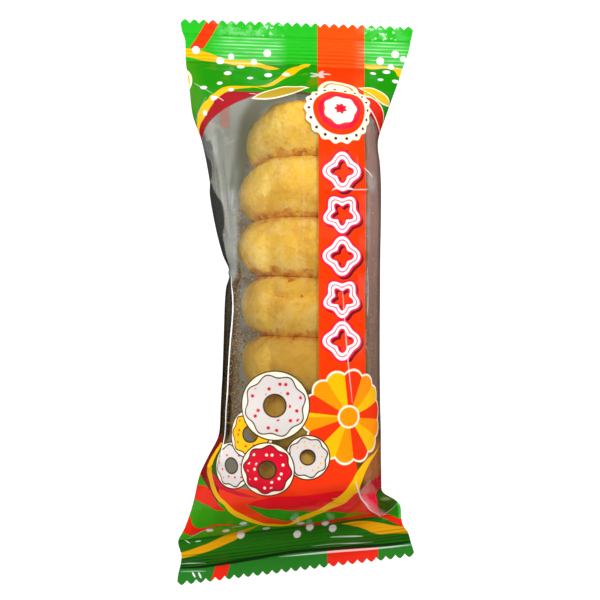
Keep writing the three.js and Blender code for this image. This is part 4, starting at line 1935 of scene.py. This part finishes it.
@dataclass(frozen=True)
class FilmGloss:
    """The film itself: clear, glossy and a little hazy, with painted light and shade on it.

    Attributes:
        ior: How strongly the front sheet mirrors.
        ink_cover: How much the print hides.
        light_tint: The share of light that the front sheet lets through.
        edge_tint: The same of film seen at a slant.
        fold_shade_tint: The same of the dark folds, which is painted shade.
        back_tint: The same of the back sheet, so dark that the floor shows dark through it.
        painted_shade_tint: The same of its darker bands beside the row, which are painted shade.
        painted_shade: The middle between those bands, how far they lie from it, half their width
            and their blur.
        painted_shade_reach: Where along the film they fade in and out.
        glare: The width of the pink light beside the corner's crease, and how soft its edges are.
    """

    ior: float = 1.45
    back_ior: float = 1.18
    roughness: float = 0.12
    ink_cover: float = 0.95
    ink_roughness: float = 0.14
    ink_ior: float = 1.36
    light_roughness: float = 0.3
    milk_and_sheen_roughness: float = 0.5
    crinkle: float = 0.22
    haze: float = 0.012
    back_haze: float = 0.04
    painted_shade: Four = (-0.5, 26.5, 11.5, 4)
    painted_shade_reach: Four = (-92, -70, 74, 92)
    milk_and_sheen: Triple = (198, 206, 200)
    pink: Triple = (255, 158, 172)
    white: Triple = (247, 247, 249)
    mint: Triple = (206, 255, 206)
    glare: Triple = (2.6, 0.4, 3.4)
    back_ends: Pair = (-92, 98)
    back_bands: Sequence[Pair] = ((96, 99), (-93, -90))
    light_tint: Four = (0.98, 0.975, 0.96, 1)
    edge_tint: Four = (0.42, 0.36, 0.32, 1)
    fold_shade_tint: Four = (0.08, 0.088, 0.075, 1)
    back_tint: Four = (0.32, 0.31, 0.27, 1)
    painted_shade_tint: Four = (0.18, 0.165, 0.125, 1)

    def relief(self, bench: Bench) -> Wire:
        """Give the normal of slightly crinkled film."""
        where = bench.node("ShaderNodeTexCoord", output=3)
        height = bench.noise(where, 60, 3) + bench.noise(where, 220, 2) * 0.25
        return bench.bump(height, self.crinkle, 0.002)

    def clear(
        self, bench: Bench, tint: Four, dark: Wire, dark_tint: Four, haze: Wire | float, ior: float,
        normal: Wire,
    ) -> Wire:
        """Make clear film.

        Args:
            bench: The material.
            tint: The share of light let through, seen straight on.
            dark: Where the film is darker, with painted shade.
            dark_tint: The share of light let through there.
            haze: How milky it is, painted sheen included.
            ior: How strongly it mirrors.
            normal: Its relief.
        """
        facing = bench.node("ShaderNodeLayerWeight", {}, {"Blend": 0.5}, output=1)
        straight, grazing, painted_shade = (
            bench.node("ShaderNodeBsdfTransparent", {}, {"Color": shade})
            for shade in (tint, self.edge_tint, dark_tint)
        )
        through = bench.mix_shaders(facing.rising(0.5, 0.88) * 0.95, straight, grazing)
        through = bench.mix_shaders(dark, through, painted_shade)
        milk_and_sheen = bench.paint(linear(*self.milk_and_sheen), self.milk_and_sheen_roughness, Normal=normal)
        inputs = {"Color": (1, 1, 1, 1), "Roughness": self.roughness, "Normal": normal}
        shine = bench.node("ShaderNodeBsdfAnisotropic", {}, inputs)
        fresnel = bench.node("ShaderNodeFresnel", {}, {"IOR": ior, "Normal": normal})
        soft = bench.mix_shaders(haze, through, milk_and_sheen)
        return bench.mix_shaders(fresnel, soft, shine)

    def printed(self, bench: Bench, colour: Wire, normal: Wire) -> Wire:
        """Make glossy ink under film."""
        return bench.paint(colour, self.ink_roughness, IOR=self.ink_ior, Normal=normal)

    def corner_glare(self, film: FlatFilm) -> Wire:
        """Give how strong the pink light right of the lower corner's crease is."""
        width, near, far = self.glare
        end = [(s + width, v) for s, v in CORNER_CREASE]
        speckle = film.bench.noise(film.spot, 0.9, 3, 0.6).rising(0.35, 0.6) * 0.5 + 0.5
        glare = (1 - film.left_of(CORNER_CREASE, near)) * film.left_of(end, far) * speckle
        return glare * film.past(-111) * film.along.falling(-84, -76) * 0.7

    def front(self, film_map: str) -> bpy.types.Material:
        """Make the front sheet's finish, from the UV map that holds flat millimetres."""
        bench = Bench("front_film")
        film = FlatFilm(bench, film_map)
        layers = Layers(film)
        FrontPrint().lay(layers)
        normal = self.relief(bench)
        wing = Wing()
        # The wing's milk carries painted sheen as well as the film's haze.
        haze = wing.milk_and_sheen(film) + wing.veil(film) + self.haze
        clear = self.clear(
            bench, self.light_tint, wing.dark(film), self.fold_shade_tint, haze, self.ior, normal,
        )
        ink = self.printed(bench, layers.colour, normal)
        dressed = bench.mix_shaders(layers.cover * self.ink_cover, clear, ink)
        for mask, tint in (
            (self.corner_glare(film), self.pink),
            (CreaseLights().mask(film), self.white),
            (SealSheen().mask(film), self.mint),
        ):
            light = bench.paint(linear(*tint), self.light_roughness)
            dressed = bench.mix_shaders(mask, dressed, light)
        return bench.finish(dressed)

    def back(self, film_map: str) -> bpy.types.Material:
        """Make the back sheet's finish: darkened film with painted shade in bands beside the row,
        and green ends.
        """
        bench = Bench("back_film")
        film = FlatFilm(bench, film_map)
        layers = Layers(film)
        low, high = self.back_ends
        layers.lay(film.past(high), Ink.GREEN)
        layers.lay(film.short_of(low), Ink.GREEN)
        for start, end in self.back_bands:
            layers.lay(film.past(start) * film.short_of(end), Ink.YELLOW)
        normal = self.relief(bench)
        # Painted shade in two bands beside the row.
        middle, away, half, soft = self.painted_shade
        beside = (abs(abs(film.across - middle) - away) - half).inside(soft)
        beside = beside * film.along.within(*self.painted_shade_reach)
        clear = self.clear(
            bench, self.back_tint, beside, self.painted_shade_tint, self.back_haze, self.back_ior, normal,
        )
        ink = self.printed(bench, layers.colour, normal)
        return bench.finish(bench.mix_shaders(layers.cover * self.ink_cover, clear, ink))


@dataclass(frozen=True)
class Crust:
    """Matte fried cake crust: golden on the crowns, browner where two rings meet, darker by painted
    shade lower down the bag.

    Attributes:
        patches: How often, how finely and how roughly the pale patches change, as for each
            of the five after it.
        relief: How strong and how deep the small relief is.
        aside: Where the blotches are read, so that they don't follow the patches.
    """

    patches: Triple = (110, 4, 0.6)
    blotches: Triple = (60, 3, 0.5)
    fine: Triple = (480, 4, 0.65)
    mottle: Triple = (260, 3, 0.6)
    grain: Triple = (620, 3, 0.6)
    pores: Triple = (1100, 3, 0.7)
    relief: Pair = (0.6, 0.0012)
    aside: Triple = (3.1, 1.7, 0.4)
    apart: Triple = (1.3, 0.2, 2.4)
    crown: Triple = (246, 204, 82)
    pale: Triple = (252, 220, 124)
    deep: Triple = (226, 168, 54)
    yellow: Triple = (252, 206, 60)
    brown: Triple = (220, 148, 50)
    scorch: Triple = (180, 104, 28)
    shaded_crust: Triple = (204, 156, 58)
    roughness: float = 0.8
    ior: float = 1.35

    def make(self, joint_map: str, shade_map: str) -> bpy.types.Material:
        """Make the finish.

        Args:
            joint_map: The attribute that is 0 on a crown and 1 where rings touch.
            shade_map: The attribute that is higher on a doughnut with more painted shade.
        """
        bench = Bench("crust")
        where = bench.node("ShaderNodeTexCoord", output=3)
        joint = bench.attribute(joint_map)
        patches, fine, mottle, pores = (
            bench.noise(where, *look) for look in (self.patches, self.fine, self.mottle, self.pores)
        )
        blotches, grain = (
            bench.noise(bench.vector("ADD", where, off), *look)
            for off, look in ((self.aside, self.blotches), (self.apart, self.grain))
        )
        fried = joint + (patches - 0.5) * 0.5 + (mottle - 0.5) * 0.7
        spots = joint + (mottle - 0.5) * 1.6 + (fine - 0.5) * 1.1
        colour: Wire | tuple = linear(*self.crown)
        for mask, tint in (
            (patches.rising(0.42, 0.62), self.pale),
            (blotches.rising(0.5, 0.66) * 0.7, self.deep),
            (mottle.rising(0.48, 0.64) * 0.6, self.yellow),
            (fine.rising(0.5, 0.66) * 0.55, self.deep),
            (grain.rising(0.5, 0.68) * 0.5, self.pale),
            # Painted shade: darker crust on the doughnuts lower down the bag.
            (bench.attribute(shade_map), self.shaded_crust),
            (fried.rising(0.78, 1.04) * 0.9, self.brown),
            (spots.rising(1.0, 1.26) * 0.8, self.scorch),
        ):
            colour = bench.mix(mask, colour, linear(*tint))
        height = fine * 0.6 + pores * 0.25 + patches * 1.2
        normal = bench.bump(height, *self.relief)
        return bench.finish(bench.paint(colour, self.roughness, IOR=self.ior, Normal=normal))


@dataclass(frozen=True)
class Floor:
    """The studio's pale floor, which glows so that it shows even."""

    grey: float = 0.3
    roughness: float = 0.85
    glow: float = 0.95

    def make(self) -> bpy.types.Material:
        """Make the finish."""
        bench = Bench("floor")
        glow = {"Emission Color": (1, 1, 1, 1), "Emission Strength": self.glow}
        grey = (self.grey, self.grey, self.grey, 1)
        return bench.finish(bench.paint(grey, self.roughness, **glow))


class Reach(Enum):
    """What a lamp shows on."""

    MATTE = "matte surfaces"
    GLOSS = "glossy surfaces"


@dataclass(frozen=True)
class Lamp:
    """One softbox.

    Attributes:
        place: Its middle, in millimetres.
        target: The point that it faces.
        reach: Whether it lights matte surfaces or is mirrored in glossy ones.
    """

    name: str
    place: Triple
    target: Triple
    size: Pair
    power: float
    reach: Reach

    def build(self) -> None:
        """Add it to the scene."""
        lamp = bpy.data.lights.new(self.name, "AREA")
        lamp.shape = "RECTANGLE"
        lamp.size, lamp.size_y = (side * MM for side in self.size)
        lamp.energy = self.power
        box = bpy.data.objects.new(self.name, lamp)
        box.location = Vector(self.place) * MM
        look = Vector(self.target) - Vector(self.place)
        box.rotation_euler = look.to_track_quat("-Z", "Y").to_euler()
        box.visible_diffuse = self.reach is Reach.MATTE
        box.visible_glossy = self.reach is Reach.GLOSS
        bpy.context.scene.collection.objects.link(box)


@dataclass
class Studio:
    """The pale floor, the soft lights and the camera, which looks straight down.

    Attributes:
        shift: From the film's own places to the part's frame.
        view_width: What it sees across at the height seal_plane.
        seal_plane: The height of the seals.
        aim: What it looks at, across and along the bag.
        nearest: The nearest that it sees, in metres.
        clear_layers: How many sheets of clear film a ray may cross.
    """

    shift: Vector
    eye_height: float = 521
    view_width: float = 252
    seal_plane: float = 21
    aim: Pair = (1.47, 0.42)
    sensor: float = 36
    nearest: float = 0.01
    sky: Four = (0.8, 0.82, 0.85, 1)
    sky_strength: float = 0.36
    floor_half: float = 1500
    clear_layers: int = 24
    lamps: Sequence[Lamp] = (
        Lamp("key", (130, 270, 400), (0, 40, 30), (420, 420), 2.52, Reach.MATTE),
        Lamp("fill", (-260, 60, 420), (0, 0, 30), (380, 380), 0.55, Reach.MATTE),
        Lamp("low", (40, -330, 330), (0, -80, 20), (300, 300), 0.35, Reach.MATTE),
        Lamp("left", (-360, 20, 170), (-20, 10, 30), (160, 260), 0.62, Reach.MATTE),
        Lamp("glint_left", (-330, 40, 90), (-30, 20, 30), (60, 240), 0.05, Reach.GLOSS),
        Lamp("glint_right", (330, 40, 90), (30, 0, 30), (60, 240), 0.05, Reach.GLOSS),
    )

    def build(self) -> None:
        """Set up the whole studio."""
        self.camera()
        self.floor()
        for lamp in self.lamps:
            lamp.build()
        world = bpy.data.worlds.new("studio")
        world.use_nodes = True
        background = world.node_tree.nodes["Background"]
        background.inputs["Color"].default_value = self.sky
        background.inputs["Strength"].default_value = self.sky_strength
        world.cycles_visibility.glossy = False
        bpy.context.scene.world = world
        bpy.context.scene.view_settings.view_transform = "Standard"
        bpy.context.scene.cycles.transparent_max_bounces = self.clear_layers

    def camera(self) -> None:
        """Add the camera over the pack."""
        camera = bpy.data.cameras.new("camera")
        camera.sensor_width = self.sensor
        camera.lens = self.sensor * (self.eye_height - self.seal_plane) / self.view_width
        camera.clip_start = self.nearest
        eye = bpy.data.objects.new("camera", camera)
        eye.location = (Vector((*self.aim, self.eye_height)) + self.shift) * MM
        bpy.context.scene.collection.objects.link(eye)
        bpy.context.scene.camera = eye

    def floor(self) -> None:
        """Add the floor that the pack lies on."""
        bm = bmesh.new()
        bmesh.ops.create_grid(bm, x_segments=1, y_segments=1, size=self.floor_half)
        floor = finish_mesh(bm, "floor", [Floor().make()])
        floor.visible_glossy = False


def main() -> None:
    """Build the pack and its studio."""
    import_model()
    bag_low, bag_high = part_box("bag")
    shape = FilmShape()
    low_x = float(along(shape.left_edge, shape.bottom_tip))
    high_x = float(along(shape.right_edge, shape.bottom_tip))
    low_y = shape.bottom_tip + shape.bottom_tilt * low_x
    high_y = shape.top_tip + shape.top_tilt * float(along(shape.left_edge, shape.top_tip))
    shape.shift = Vector((-(low_x + high_x) / 2, -(low_y + high_y) / 2, 0))
    log.info("shift %s box %s %s", shape.shift, bag_low, bag_high)

    Studio(shape.shift).build()

    film_tube = FilmTube(shape)
    gloss = FilmGloss()
    tube = film_tube.build([gloss.front(film_tube.film_map), gloss.back(film_tube.film_map)])
    seam = BackFin(shape)
    clearer = replace(gloss, back_tint=seam.tint, painted_shade_tint=seam.tint, edge_tint=seam.edge_tint)
    fin = seam.build(clearer.back(seam.film_map))
    crust = Crust().make(Ring.joint_map, Ring.shade_map)
    baked = (*DoughnutRow().build(crust, shape), Crumbs(shape).build(crust))
    for slot, pieces in (("film", (tube, fin)), ("doughnut", baked)):
        for piece in pieces:
            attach(piece, BODY)
            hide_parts("bag")
            log.info("%s: %d faces", piece.name, len(piece.data.polygons))


if __name__ == "__main__":
    logging.basicConfig(level=logging.INFO)
    main()
